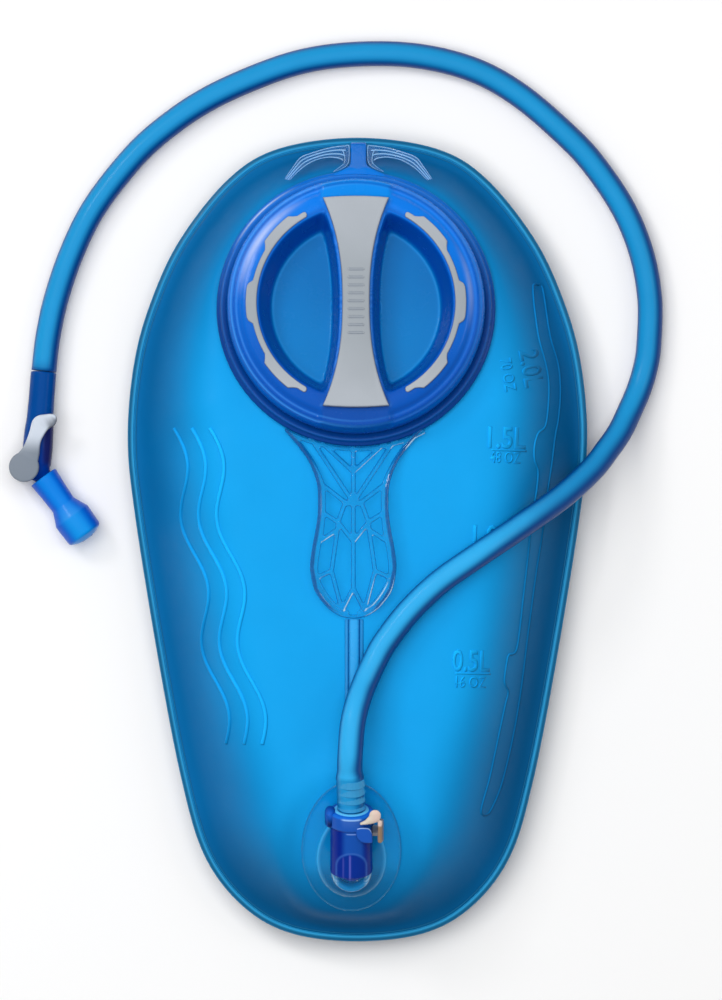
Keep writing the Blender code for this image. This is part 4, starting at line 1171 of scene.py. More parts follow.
@dataclass
class ScrewCap:
    """Cap with two finger wells, its grey grip bar and grip arcs."""

    pouch: Pouch
    radius: float = 53.0
    top: float = 18.0
    well_radius: float = 40.5
    well_floor: float = 4.0
    bar_length: float = 43.2
    bar_end: float = 13.6
    bar_waist: float = 5.6
    bar_rise: float = 2.9
    ridge: float = 50.3
    groove: float = 48.2
    around: int = 256
    shade: Colour = (0.0, 0.07, 0.42)
    trim: Colour = (0.05, 0.28, 0.85)

    def bar_half(self, y: float) -> float:
        """Half width of the grip bar at a distance from its middle, in millimetres."""
        return self.bar_waist + (self.bar_end - self.bar_waist) * min(abs(y) / self.bar_length, 1) ** 2.4

    def well_depth_at(self, x: float, y: float) -> float:
        """How far into a well a point is: 0 on the rim, 1 on the floor."""
        to_circle = (self.well_radius - math.hypot(x, y)) / 6.3
        to_bar = (abs(x) - self.bar_half(y) - 0.9) / 3.6
        blend = 0.55
        share = max(blend - abs(to_circle - to_bar), 0) / blend
        return min(to_circle, to_bar) - share * share * blend / 4

    def height(self, x: float, y: float) -> float:
        """Height of the cap's top face at a point, all in millimetres."""
        radius = math.hypot(x, y)
        dome = self.top - 0.9 * ease((radius - 43) / 5) - 3.0 * ease((radius - 46) / 6.2)
        ridge = 0.75 * bell(radius, self.ridge, 0.8)
        groove = -0.5 * bell(radius, self.groove, 0.9)
        shelf = ease((15.4 - abs(x)) / 1.6) * ease((52.0 - radius) / 1.2) * ease((radius - 41) / 2)
        rim = dome + ridge + groove
        rim += (self.top - 0.2 - 0.12 * max(radius - 44, 0) - rim) * shelf
        fall = max(radius - 51.6, 0)
        rim -= 4.2 * (fall / 1.4) ** 2
        depth = self.well_depth_at(x, y)
        return rim - (self.top - self.well_floor) * ease(depth)

    def make_shell(self) -> None:
        """Cap shell: top face grown ring by ring, then the skirt and the under side."""
        angles = circle(self.around)
        radii = np.concatenate([[0.5], np.arange(1.5, 33, 0.8), np.arange(33, 53.01, 0.4)])
        loops = []
        for radius in radii:
            plan = [(radius * math.cos(a), radius * math.sin(a)) for a in angles]
            loops.append([Vector((x, y, self.height(x, y))) * MM for x, y in plan])
        under = [(53.0, 8.0), (52.9, 6.0), (52.6, 5.4), (50.0, 5.4), (50.0, 1.0), (49.7, 0.6), (46.9, 0.6),
                 (46.5, 1.0), (46.5, 12.2), (40.2, 12.2), (40.2, 2.6), (39.6, 2.2), (20, 2.2), (0.5, 2.2)]
        for radius, z in under:
            loops.append([Vector((radius * math.cos(a), radius * math.sin(a), z)) * MM for a in angles])
        bm = Mould.grow(loops, fill_first=True, fill_last=True)
        Mould.piece("cap_moulding", bm, CAP, Body.CAP, ["cap_shell"], self.pouch.collar_frame,
                    paint=self.colour, smooth=50)

    def colour(self, point: Vector, normal: Vector) -> Colour:
        """Cap blue with painted light and shade: lighter towards +Y where the light falls and on the well floors,
        painted shade on the well walls and edges, on a ring by the rim, on the skirt and under side, and painted
        highlights on the fine rim lines, along the well floors' edges and in streaks on the upper left and the right.
        """
        x, y, z = point.x / MM, point.y / MM, point.z / MM
        radius = math.hypot(x, y)
        # Painted shade on the skirt and the under side.
        if z < 3.5 or radius > 52.9:
            return (0.0, 0.08, 0.42)
        # Painted light: the top face lightens towards +Y, the side the light comes from.
        high = ease((y + 46) / 92)
        rim = mix((0.0, 0.085, 0.46), (0.002, 0.19, 0.78), high)
        shelf = ease((14.6 - abs(x)) / 1.0) * ease((abs(y) - 42) / 1.5)
        rim = mix(rim, mix((0.0, 0.065, 0.36), (0.0, 0.25, 0.80), high), shelf * 0.8)
        # Painted shade as a dark ring at 50 mm radius.
        rim = mix(rim, self.shade, bell(radius, 50.0, 0.6) * 0.6)
        # Painted highlights on the fine rim lines, stronger on the left where the light comes from.
        left = ease((-x / radius + 0.35) / 0.9)
        lines = bell(radius, 51.3, 0.3) + 0.7 * bell(radius, 49.2, 0.25)
        rim = mix(rim, (0.06, 0.36, 0.95), min(lines, 1) * (0.25 + 0.45 * left))
        turn = math.degrees(math.atan2(y, x))
        # Painted highlight streaks: a strong one on the upper left and a faint one on the right.
        painted_highlight = bell(radius, 47.6, 1.5) * ease(1 - abs(turn - 146) / 34)
        far_painted_highlight = bell(radius, 47.2, 1.0) * ease(1 - abs(turn - 8) / 26)
        rim = mix(rim, (0.50, 0.62, 0.96), min(painted_highlight * 0.85 + far_painted_highlight * 0.3, 1))
        depth = self.well_depth_at(x, y)
        beside_bar = abs(x) - self.bar_half(y)
        trim = bell(beside_bar, 0.45, 0.3) * ease((43.4 - abs(y)) / 0.6)
        if depth <= 0:
            # Painted shade along the edge of each well.
            edge = ease(1 + depth / 0.35)
            return mix(mix(rim, self.shade, edge * 0.5), self.trim, trim * 0.8)
        # Painted shade on the well walls; the floors are lighter towards -Y, with a painted highlight line where floor
        # meets wall.
        wall = (0.0, 0.062, 0.40)
        floor = mix((0.0, 0.165, 0.48), (0.0, 0.205, 0.55), ease((20 - y) / 50))
        tone = mix(mix(rim, wall, ease(depth / 0.2)), floor, ease((depth - 0.72) / 0.28))
        tone = mix(tone, (0.01, 0.28, 0.72), bell(depth, 1.02, 0.07) * 0.6)
        return mix(tone, self.trim, trim * 0.8)

    def make_bar(self) -> None:
        """Grip bar, waisted, with short cross ribs on its waist."""
        right = [(self.bar_half(y), y) for y in np.linspace(-1, 1, 41) * self.bar_length]
        ends = [(x, self.bar_length + 0.7 * (1 - (x / self.bar_end) ** 2)) for x in (9, 4.5, 0, -4.5, -9)]
        outline = right + ends + [(-x, y) for x, y in reversed(right)] + [(-x, -y) for x, y in ends]
        plan = [(x * MM, y * MM) for x, y in outline]
        bm = Mould.plate(plan, (self.top - 0.2) * MM, (self.top + self.bar_rise) * MM, 0.9 * MM, 4)
        Mould.piece("grip_bar", bm, GRIP, Body.CAP, ["cap_grip_bar"], self.pouch.collar_frame,
                    paint=grip_paint_with_shade, smooth=50)
        ribs = bmesh.new()
        for number in range(9):
            y = (number - 4) * 3.3 * MM
            z = (self.top + self.bar_rise) * MM
            Mould.bar(ribs, Vector((-2.9 * MM, y, z)), Vector((2.9 * MM, y, z)), 0.55 * MM, 0.3 * MM, 10)
        Mould.piece("grip_bar_ribs", ribs, GRIP, Body.CAP, (), self.pouch.collar_frame,
                    paint=grip_paint_with_shade, smooth=60)

    def make_arcs(self) -> None:
        """Two grip arcs with three low bumps each."""
        for side in Side:
            angles = np.linspace(-60, 60, 61)
            inner = [self._on_arc(side, a, 40.7) for a in angles]
            outer = [self._on_arc(side, a, self.arc_outer(a)) for a in angles]
            tip = [(60.9, 41.3), (61.2, 42.1), (60.9, 42.8)]
            high = [self._on_arc(side, a, radius) for a, radius in tip]
            low = [self._on_arc(side, -a, radius) for a, radius in reversed(tip)]
            bm = Mould.plate(inner + high + outer[::-1] + low, (self.top - 1.6) * MM,
                             (self.top + 0.9) * MM, 0.5 * MM)
            word = side.name.lower()
            Mould.piece(f"grip_arc_{word}", bm, GRIP, Body.CAP, [f"cap_grip_arc_{word}"],
                        self.pouch.collar_frame, paint=grip_paint_with_shade, smooth=50)

    @staticmethod
    def arc_outer(degrees: float) -> float:
        """Outer radius of a grip arc, with its bumps, in millimetres."""
        nearest = min(abs(degrees - at) for at in (-43, 0, 43))
        return 43.1 + 2.1 * ease((12.5 - nearest) / 3.5)

    @staticmethod
    def _on_arc(side: Side, degrees: float, radius: float) -> Point2:
        """Point on a circle round the cap's axis, in metres."""
        a = math.radians(degrees)
        return side.value * radius * math.cos(a) * MM, radius * math.sin(a) * MM


# Clear fittings


@dataclass
class Hanger:
    """Two clear leaf-shaped loops at the cap end."""

    pouch: Pouch
    low_y: float = 166.5 * MM
    low: float = 19 * MM
    slope: float = 4 / 3
    rib_half: float = 0.34
    rib_rise: float = 0.6

    def height(self, y: float) -> float:
        """Height of the wings and the tab over the short slope."""
        return min(self.low + (self.low_y - y) * self.slope, self.pouch.collar_plane(y) + 2.8 * MM)

    def make(self) -> None:
        """Both wings: a ribbed leaf, and the stem that carries it back to the fill port."""
        edge = [(31.0, 148.6), (27.6, 153.6), (24.4, 157.9), (18.9, 160.2), (13.4, 161.9), (8.2, 162.9),
                (5.0, 163.2)]
        slot = [(28.6, 148.0), (24.6, 151.9), (21.4, 154.4), (17.4, 156.5), (12.4, 157.5), (8.4, 157.0),
                (6.8, 156.0)]
        stem_out = [(5.0, 163.2), (4.0, 162.9), (3.9, 158.8), (4.4, 155.2), (6.6, 153.0), (10.6, 151.4)]
        stem_in = [(8.0, 161.0), (7.0, 160.0), (6.4, 157.6), (6.6, 155.4), (8.2, 153.8), (11.0, 151.7)]
        for side, shift in ((Side.LEFT, 0.8), (Side.RIGHT, 0.0)):
            bm = self._leaf(edge, slot, (0.05, 0.34, 0.63, 0.93), side, shift)
            Mould.absorb(bm, self._leaf(stem_out, stem_in, (0.1, 0.9), side, shift))
            word = side.name.lower()
            Mould.piece(f"hanger_loop_{word}", bm, CLEAR, Body.BLADDER, [f"hanger_wing_{word}"],
                        paint=self.colour, smooth=180)

    def _leaf(self, outer: Sequence[Point2], inner: Sequence[Point2], ribs: Sequence[float], side: Side,
              shift: float) -> bmesh.types.BMesh:
        """Thin leaf between two edges, with fine raised ribs along it.

        Args:
            outer: its outer edge in millimetres, as if on the right.
            inner: its inner edge.
            ribs: where the ribs run, as shares from the outer edge to the inner one.
            side: which wing it is.
            shift: how far it is moved along X, in millimetres.

        Returns:
            The closed bmesh.
        """
        rails = [evenly(smooth_path(line, 8, False), 44, False) for line in (outer, inner)]
        across = np.linspace(0, 1, 49)
        loops = []
        for a, b in zip(*rails):
            width = math.dist(a, b)
            top, low = [], []
            for u in across:
                x, y = a + (b - a) * u
                rise = max(math.exp(-((u - rib) * width / self.rib_half) ** 2) for rib in ribs)
                fall = min(min(u, 1 - u) * width / 0.25, 1)
                base = Vector(((side.value * x + shift) * MM, y * MM, self.height(y * MM)))
                top.append(base + Vector((0, 0, (0.15 + (0.15 + self.rib_rise * rise) * fall) * MM)))
                low.append(base + Vector((0, 0, (0.15 - 0.3 * fall) * MM)))
            loops.append(top + low[-2:0:-1])
        bm = Mould.grow(loops, fill_first=True, fill_last=True)
        bmesh.ops.recalc_face_normals(bm, faces=bm.faces)
        return bm

    def colour(self, point: Vector, normal: Vector) -> Sequence[float]:
        """Clear leaf whose ribs catch the light."""
        # Painted highlight along the rib crests, which are also more solid.
        crest = ease(((point.z - self.height(point.y)) / MM - 0.42) / 0.35)
        return (*mix((0.03, 0.22, 0.62), (0.30, 0.60, 0.98), crest), 0.22 + 0.5 * crest)


@dataclass
class CarryHandle:
    """Clear handle: a frame with a web of ribs, arched over the crown."""

    pouch: Pouch
    middle_x: float = -1.7
    end_y: float = -31.8
    top_y: float = 37.4
    rise: float = 5.4
    thick: float = 2.2
    side: tuple[Point2, ...] = (
        (27.4, 45.0), (22.4, 39.5), (18.2, 33.6), (15.4, 27.5), (13.9, 21.6), (13.7, 15), (13.9, 9.6),
        (14.9, 3), (16.1, -3.2), (17.0, -11.2), (15.4, -19.8), (12.6, -24.4), (9.1, -28.2), (4.4, -30.9),
        (0, -31.5),
    )
    # Direction that edges face where a painted glint is laid on the handle.
    glint_from: Vector = field(default_factory=lambda: Vector((0.45, -0.5, 0.74)).normalized())

    def height(self, y: float) -> float:
        """Mid height of the arched handle."""
        share = (y / MM - self.end_y) / (self.top_y - self.end_y)
        arch = math.sin(math.pi * min(max(share, 0), 1))
        return self.pouch.crown(min(y, self.top_y * MM)) + (0.9 + self.thick / 2 + self.rise * arch) * MM

    def make(self) -> None:
        """Frame and web, melted into one skin and bent over the crown."""
        inner = [(23.6, 41.6), (18.4, 34.6), (14.6, 28.4), (12.2, 22.4), (11.8, 15), (12.0, 8.6), (12.7, 2.6),
                 (13.9, -3.2), (14.9, -11.0), (14.2, -16.0), (11.8, -21.0), (8.0, -26.0), (5.2, -28.0)]
        ribs = [
            [(0, 38), (0, 28), (0, 15.2), (0, -0.6), (0, -19.8), (4.4, -28.5)],
            [(0, 28), (12.6, 39.6)], [(0, 15.2), (17.3, 41.6)], [(0, 15.2), (3.4, 15.6), (12.0, 22.2)],
            [(0, 15.2), (3.6, 14.6), (6.2, 7.3), (0, -0.6)], [(6.2, 7.3), (12.0, 11.0)],
            [(6.4, 4.4), (12.6, 0.2)], [(6.2, 7.3), (6.6, 3.4), (8.9, -12.7), (14.4, -15.2)],
            [(8.9, -12.7), (5.4, -26), (4.4, -28.5)],
        ]
        bm = bmesh.new()
        rails = [evenly(smooth_path(line, 6, False), 60, False) for line in (self.side, inner)]
        for sign in (-1, 1):
            self._run(bm, rails[0], sign, 0.85, 1.0)
            self._run(bm, rails[1], sign, 0.6, 0.8)
            self._run(bm, (rails[0] + rails[1]) / 2, sign, 1.2, 0.42)
            for rib in ribs:
                self._run(bm, rib, sign, 1.05, 0.95)
        arc = [(57.9 * math.sin(a), 94.8 - 57.6 * math.cos(a)) for a in np.linspace(-0.5, 0.5, 21)]
        self._run(bm, [(x + 1.1, y) for x, y in arc], 1, 0.9, 0.9)
        bm = Mould.fuse(bm, 0.36 * MM, 2)
        for vert in bm.verts:
            vert.co.z += self.height(vert.co.y)
        Mould.piece("webbed_handle", bm, CLEAR, Body.BLADDER, ["carry_handle"], paint=self.colour, smooth=180)

    def colour(self, point: Vector, normal: Vector) -> Sequence[float]:
        """Clear web: film-like on top, with painted shade as thin dark lines down its sides and along its outer rail,
        and painted glints on edges that face glint_from.
        """
        x, y = abs(point.x / MM - self.middle_x), point.y / MM
        rail_x = float(np.interp(-y, [-b for a, b in self.side], [a for a, b in self.side]))
        rail = ease(1.6 - abs(x - rail_x) / 0.8) * ease((y + 31) / 4)
        # Painted shade down the steep sides and along the outer rail.
        side = max(ease((0.97 - abs(normal.z)) / 0.22), rail)
        right = point.x / MM > self.middle_x
        # Painted glints where edges face glint_from, in some stretches of the frame.
        where = max(ease((-12 - y) / 8), 0.9 * right * ease((y - 24) / 6), bell(y, 1, 3))
        glint = ease((normal.dot(self.glint_from) - 0.93) / 0.05) * where
        tone = mix((0.02, 0.40, 0.86), mix((0.0, 0.15, 0.50), (0.0, 0.085, 0.32), rail), side)
        if normal.z < 0:
            return (*tone, 0.04 + 0.3 * rail)
        return (*mix(tone, (0.6, 0.85, 1.0), glint), min(0.06 + 0.68 * side + 0.6 * glint, 0.92))

    def _run(self, bm: bmesh.types.BMesh, line: Sequence[Sequence[float]], sign: int, wide: float,
             thick: float) -> None:
        """Chain of bars along a line given in millimetres from the handle's middle."""
        dots = [Vector(((self.middle_x + sign * x) * MM, y * MM, 0)) for x, y in line]
        for start, end in zip(dots, dots[1:]):
            Mould.bar(bm, start, end, wide * MM, thick * MM, 12)


@dataclass
class SpineStrip:
    """Stiffening strip along the crown, with a raised middle."""

    pouch: Pouch
    middle_x: float = -1.4 * MM
    half: float = 3.8 * MM
    low_y: float = -100.4 * MM
    high_y: float = -32.6 * MM

    def make(self) -> None:
        """Strip: a closed section carried along the crown."""
        half = [(0.3, 1.45), (0.5, 1.2), (0.6, 0.6), (0.72, 0.85), (0.93, 0.75), (1, 0.3)]
        section = [(-u, h) for u, h in reversed(half)] + half
        loops = []
        for y in np.linspace(self.low_y, self.high_y, 60):
            base = self.pouch.crown(y)
            loops.append([
                Vector((self.middle_x + u * self.half, y, base + h * MM)) for u, h in section
            ])
        bm = Mould.grow(loops, fill_first=True, fill_last=True)
        Mould.piece("spine_rib", bm, STRIP, Body.BLADDER, ["spine_strip"], paint=self.colour, smooth=35)

    def colour(self, point: Vector, normal: Vector) -> Colour:
        """Light middle, with painted shade in the pressed grooves and down the edges."""
        across = abs(point.x - self.middle_x) / self.half
        # Painted shade in the grooves and down the edges.
        dark = bell(across, 0.6, 0.12) + 0.7 * ease((across - 0.85) / 0.15)
        return mix((0.02, 0.38, 0.84), (0.0, 0.09, 0.34), min(dark, 1))


# Exit port and quick link


@dataclass(frozen=True)
class Oval:
    """Egg-shaped outline, in millimetres.

    Attributes:
        half_x: half its width.
        half_y: half its length.
        narrow: how much narrower it is towards +Y, as a share.
        shift: where its middle is along Y.
    """

    half_x: float
    half_y: float
    narrow: float
    shift: float

    def loop(self, share: float, z: float) -> list[Vector]:
        """Loop of points at a share of its full size and a height in millimetres."""
        return [
            Vector((self.half_x * share * (1 - self.narrow * math.sin(a)) * math.cos(a),
                    self.shift + self.half_y * share * math.sin(a), z)) * MM
            for a in circle(96)
        ]

    def reach(self, x: float, y: float) -> float:
        """How far out a point is, with 1 on the outline."""
        along = (y - self.shift) / self.half_y
        return math.hypot(x / (self.half_x * (1 - self.narrow * along)), along)


@dataclass
class ExitPort:
    """Clear port on the slope: an oval flange, a teardrop plinth, the elbow and its nozzle."""

    pouch: Pouch
    axis_height: float = 11.4
    flange: Oval = Oval(20.6, 29.2, 0.04, 2.2)
    plinth: Oval = Oval(13.9, 18.5, 0.1, -1.6)
    guard_x: float = 6.9
    guard_y: float = 7.4
    guard_middle: float = -6.0
    nozzle_radius: float = 5.6
    elbow_radius: float = 4.4
    foot: float = 1.4

    @property
    def barrel_frame(self) -> Matrix:
        """Frame of the barrel, its Z along the hose's way out."""
        lift = Matrix.Translation((0, 0, self.axis_height * MM))
        return self.pouch.port_frame @ lift @ Matrix.Rotation(-math.pi / 2, 4, "X")

    def make_flange(self) -> None:
        """Oval flange with a thin welded rim, and the plinth's raised lip."""
        rings = [(1.0, 0.15), (1.0, 0.55), (0.985, 0.8), (0.96, 0.85), (0.94, 0.6), (0.9, 0.5)]
        steps = [(1.1, 0.5), (1.04, 0.6), (1.0, 1.25), (0.96, 1.5), (0.9, 1.3), (0.5, 1.25), (0.05, 1.25),
                 (0.05, 0.15)]
        loops = [self.flange.loop(share, z) for share, z in rings]
        loops += [self.plinth.loop(share, z) for share, z in steps]
        bm = Mould.grow(loops, fill_first=True, fill_last=True)
        bmesh.ops.recalc_face_normals(bm, faces=bm.faces)
        Mould.piece("port_flange", bm, CLEAR, Body.BLADDER, ["exit_port"], self.pouch.port_frame,
                    paint=self.flange_colour, smooth=60)

    def flange_colour(self, point: Vector, normal: Vector) -> Sequence[float]:
        """Clear flange: nearly the film's colour, darker towards its low end like the painted shade on the film there,
        with a dark weld line, painted shade at the plinth's foot and a painted highlight along the plinth's edge.
        """
        x, y = point.x / MM, point.y / MM
        outer, inner = self.flange.reach(x, y), self.plinth.reach(x, y)
        weld = bell(outer, 0.985, 0.012)
        # Painted highlight along the plinth's crest and painted shade at its foot.
        crest = bell(inner, 0.985, 0.022)
        foot = bell(inner, 0.93, 0.03)
        # Darker towards the low end, as the film's painted shade there.
        low = ease((-4 - y) / 14)
        well = ease((0.9 - inner) / 0.06) * ease((-2 - y) / 8)
        base = mix((0.0, 0.46, 1.0), (0.004, 0.20, 0.48), low)
        base = mix(base, (0.012, 0.30, 0.74), well)
        colour = mix(base, mix((0.0, 0.12, 0.36), (0.02, 0.24, 0.5), low), weld)
        colour = mix(mix(colour, (0.0, 0.07, 0.24), foot), (0.30, 0.66, 0.92), crest * (0.25 + 0.5 * low))
        if normal.z < 0:
            return (*base, 0.05)
        solid = 0.42 * (1 - low) + 0.1 * low + 0.4 * well
        return (*colour, min(solid + 0.6 * weld + 0.7 * foot + 0.6 * crest, 1))

    def make_nozzle(self) -> None:
        """Navy nozzle with its rounded low end, melted onto the elbow below it."""
        bm = bmesh.new()
        axis = self.axis_height
        for start, end, radius in (((0, -2.6, axis), (0, -1.6, axis), self.nozzle_radius),
                                   ((0, -3.0, 2), (0, -3.2, axis), self.elbow_radius)):
            Mould.bar(bm, Vector(start) * MM, Vector(end) * MM, radius * MM, radius * MM, 32)
        for vert in bm.verts:
            vert.co.z = max(vert.co.z, self.foot * MM)
        bm = Mould.fuse(bm, 0.45 * MM, 2)
        Mould.piece("port_nozzle", bm, LINK, Body.BLADDER, (), self.pouch.port_frame,
                    paint=self.nozzle_colour, smooth=180)

    @staticmethod
    def nozzle_colour(point: Vector, normal: Vector) -> Colour:
        """Navy nozzle with two pale streaks on its upper side, painted highlights."""
        # Painted highlights: two pale streaks, only where the surface faces up.
        lines = bell(point.x / MM, -0.6, 0.35) + bell(point.x / MM, -3.4, 0.3)
        return mix((0.0, 0.035, 0.30), (0.10, 0.12, 0.62), min(lines * 0.7, 1) * max(normal.z, 0))

    def make_guard(self) -> None:
        """Clear elbow shell round the nozzle's end: a rounded trough that stands on the plinth."""
        loops = []
        for a in np.linspace(math.radians(-198), math.radians(18), 56):
            out = Vector((math.cos(a), math.sin(a), 0))
            middle = Vector((out.x * self.guard_x, out.y * self.guard_y + self.guard_middle, 0)) * MM
            loops.append([
                middle + out * ((1.6 + 0.3 * math.sin(b)) * MM * math.cos(b))
                + Vector((0, 0, (5.6 + 4.4 * math.sin(b)) * MM))
                for b in circle(20)
            ])
        bm = Mould.grow(loops, fill_first=True, fill_last=True)
        bmesh.ops.recalc_face_normals(bm, faces=bm.faces)
        Mould.piece("port_guard", bm, CLEAR, Body.BLADDER, (), self.pouch.port_frame,
                    paint=self.guard_colour, smooth=180)

    def guard_colour(self, point: Vector, normal: Vector) -> Sequence[float]:
        """Clear shell: light blue on its crest, painted shade as a dark line round its foot and painted highlights as
        pale streaks beside it.
        """
        x, y = point.x / MM, point.y / MM
        reach = math.hypot(x / self.guard_x, min(y - self.guard_middle, 0) / self.guard_y)
        # Painted shade round the foot and painted highlight streaks beside the shell.
        foot_shade = ease((reach - 1.07) / 0.05)
        highlight_streak = ease((abs(x) - 5.2) / 0.6) * (0.5 + 0.5 * math.cos(abs(x) * math.tau / 0.9))
        tone = mix((0.012, 0.40, 0.92), (0.0, 0.05, 0.22), foot_shade)
        tone = mix(tone, (0.45, 0.75, 0.95), highlight_streak * (1 - foot_shade * 0.4))
        return (*tone, 0.1 if normal.z < 0 else 0.55 + 0.3 * max(foot_shade, highlight_streak))


@dataclass
class QuickLink:
    """Hose-side half of the quick link: barrel, collar, ear and release button."""

    port: ExitPort
    low: float = -3.8
    high: float = 23.6
    collar: float = 17.4
    radius: float = 8.7
    collar_radius: float = 9.4
    bore: float = 6.9
    throat: float = 5.0
    ring: float = 6.3
    key_rise: float = 10.5
    key: tuple[tuple[float, float, float], ...] = (
        (4.0, 22.0, 0.45), (6.4, 22.7, 0.95), (8.6, 23.9, 1.8), (9.7, 25.0, 2.4), (9.7, 25.8, 2.4),
    )

    def make_barrel(self) -> None:
        """Barrel and collar, turned about the hose's axis."""
        wall = [(self.radius, along) for along in np.linspace(self.collar - 0.9, 1.2, 34)]
        outer = soft_profile([
            (6.2, self.high), (8.8, self.high), (self.collar_radius, self.high - 0.9),
            (self.collar_radius, self.collar + 0.6), (9.2, self.collar), (self.radius, self.collar - 0.4),
            *wall, (8.8, self.low + 0.8), (8.6, self.low), (self.bore, self.low), (self.bore, 8.6),
            (self.throat, 9.4), (self.throat, self.high - 1.6), (6.2, self.high),
        ], 0.7)[:-1]
        bm = Mould.turn(outer, 96)
        Mould.piece("link_barrel", bm, LINK, Body.BLADDER, ["quick_link_body"], self.port.barrel_frame,
                    paint=self.barrel_colour, smooth=40)
        # The ring is painted light blue: a painted highlight along the collar's rounded rim.
        ring = [(self.ring + 0.95 * math.cos(a), self.high - 0.1 + 0.6 * math.sin(a)) for a in circle(12)]
        Mould.piece("link_ring", Mould.turn(ring, 64), LINK, Body.BLADDER, (), self.port.barrel_frame,
                    paint=lambda p, n: (0.10, 0.50, 0.86), smooth=180)

    def barrel_colour(self, point: Vector, normal: Vector) -> Colour:
        """Navy barrel with the nozzle's arch showing through, under a lighter collar, with painted shade down its
        sides, most on the right, and painted highlights: pale streaks over the arch, a glint under the collar and a
        light line along the collar's top edge.
        """
        along, side, up = point.z / MM, point.x / MM, -point.y / MM
        # Painted shade: lighter down the middle, darker down the sides and most on the right.
        barrel = mix((0.0005, 0.018, 0.26), (0.009, 0.085, 0.43), ease((5.6 - abs(side - 0.8)) / 3))
        barrel = mix(barrel, (0.0, 0.02, 0.20), 0.4 * ease((side - 5) / 3))
        reach = math.hypot(side / 6.0, max(along - 1.0, 0) / 6.4)
        if up > 0 and along < 8:
            barrel = mix(barrel, (0.002, 0.024, 0.28), ease((1.0 - reach) / 0.12) * 0.9)
            line = bell(reach, 1.03, 0.06)
            barrel = mix(barrel, (0.04, 0.14, 0.52), min(line * 0.7, 1))
            # Painted highlights: pale streaks over the arch.
            highlight_streaks = bell(side, -0.5, 0.3) + 0.4 * bell(side, -3.3, 0.3)
            barrel = mix(barrel, (0.14, 0.15, 0.62), highlight_streaks * ease((1.05 - reach) / 0.3) * 0.8)
        if up < 0:
            return mix(barrel, (0.012, 0.10, 0.46), ease((along - self.collar) / 0.6))
        # Painted highlight just under the collar.
        glint = bell(along - self.collar, -1.2, 0.22) * ease((2.4 - abs(side)) / 0.8)
        barrel = mix(barrel, (0.25, 0.42, 0.85), glint * 0.8)
        edge = self.high - 0.9
        collar = mix((0.014, 0.098, 0.48), (0.008, 0.15, 0.68), ease((along - edge) / 0.3))
        # Painted highlight along the collar's top edge.
        crest = bell(along, edge, 0.3) * ease((4.6 - abs(side)) / 1.6)
        collar = mix(collar, (0.35, 0.60, 0.95), crest * 0.9)
        return mix(barrel, collar, ease((along - self.collar) / 0.4))

    def make_ear(self) -> None:
        """Rounded ear that guards the button, on the top right of the collar."""
        height = self.port.axis_height + 8.1
        plan = [(2.4, 19.1), (6.6, 19.4), (8.1, 18.1), (8.6, 15.8), (8.7, 13.2), (7.6, 12.6), (5.0, 12.8),
                (2.8, 14.2), (2.0, 16.2)]
        outline = smooth_path(plan, 5, True) * MM
        bm = Mould.plate([tuple(spot) for spot in outline], (height - 4.5) * MM, (height + 1.4) * MM,
                         1.1 * MM, 5)
        bmesh.ops.triangulate(bm, faces=[face for face in bm.faces if len(face.verts) > 4])
        Mould.piece("link_ear", bm, LINK, Body.BLADDER, (), self.port.pouch.port_frame,
                    paint=self.ear_colour, smooth=60)
        bm = bmesh.new()
        low, high = (Vector((-8.7, y, self.port.axis_height + 1.6)) * MM for y in (18.9, 23.4))
        Mould.bar(bm, low, high, 2.2 * MM, 3.6 * MM, 24)
        Mould.piece("latch_housing", bm, LINK, Body.BLADDER, (), self.port.pouch.port_frame,
                    paint=self.housing_colour, smooth=180)

    @staticmethod
    def housing_colour(point: Vector, normal: Vector) -> Colour:
        """Blue housing, lighter where it faces up, with painted shade in the hollow at its low end."""
        # Painted shade in the hollow; lighter where the surface faces up.
        hollow_shade = ease((19.6 - point.y / MM) / 0.7) * ease((point.x / MM + 10.0) / 0.5)
        return mix(mix((0.004, 0.05, 0.30), (0.010, 0.13, 0.60), max(normal.z, 0)), (0.0, 0.02, 0.16), hollow_shade)

    @staticmethod
    def ear_colour(point: Vector, normal: Vector) -> Colour:
        """Blue ear, lighter where it faces up, with a painted highlight along its upper edge."""
        # Painted light where the ear faces up, and a painted highlight along its upper edge.
        tone = mix((0.004, 0.05, 0.30), (0.014, 0.10, 0.50), max(normal.z, 0))
        edge = ease((normal.y + 0.3 * normal.x - 0.3) / 0.2) * ease((normal.z - 0.25) / 0.2)
        return mix(tone, (0.40, 0.60, 0.95), edge * 0.8)

    def make_button(self) -> None:
        """Release button: a beak over the collar and a leg down its side."""
        bm = bmesh.new()
        top = self.port.axis_height + self.key_rise
        for (x0, y0, r0), (x1, y1, r1) in zip(self.key, self.key[1:]):
            for share in (0.0, 0.5):
                start = Vector((x0 + (x1 - x0) * share, y0 + (y1 - y0) * share, top)) * MM
                end = start + Vector((x1 - x0, y1 - y0, 0)) * MM / 2
                Mould.bar(bm, start, end, (r0 + (r1 - r0) * (share + 0.25)) * MM, 1.1 * MM, 20)
        for y in np.linspace(14.0, 22.4, 9):
            Mould.bar(bm, Vector((12.3, y - 4.4, 10.0)) * MM, Vector((11.7, y, top - 0.6)) * MM, MM, MM, 12)
        bm = Mould.fuse(bm, 0.3 * MM, 3)
        Mould.piece("release_key", bm, TAN, Body.BUTTON, ["release_button"], self.port.pouch.port_frame,
                    paint=self.button_colour, smooth=180)

    @staticmethod
    def button_colour(point: Vector, normal: Vector) -> Colour:
        """Warm grey, paler on top, with painted shade as a browner tone down its sides and on its leg."""
        # Painted shade: browner on the leg and where the surface turns from up.
        leg_shade = ease((21.2 - point.y / MM) / 0.8) * ease((point.x / MM - 9.2) / 0.6)
        top = mix((0.70, 0.62, 0.52), (0.78, 0.60, 0.52), ease((point.x / MM - 7) / 3))
        return mix(mix((0.26, 0.20, 0.14), top, ease(normal.z * 0.9 + 0.5)), (0.22, 0.13, 0.06), leg_shade * 0.85)


# Hose and mouthpiece


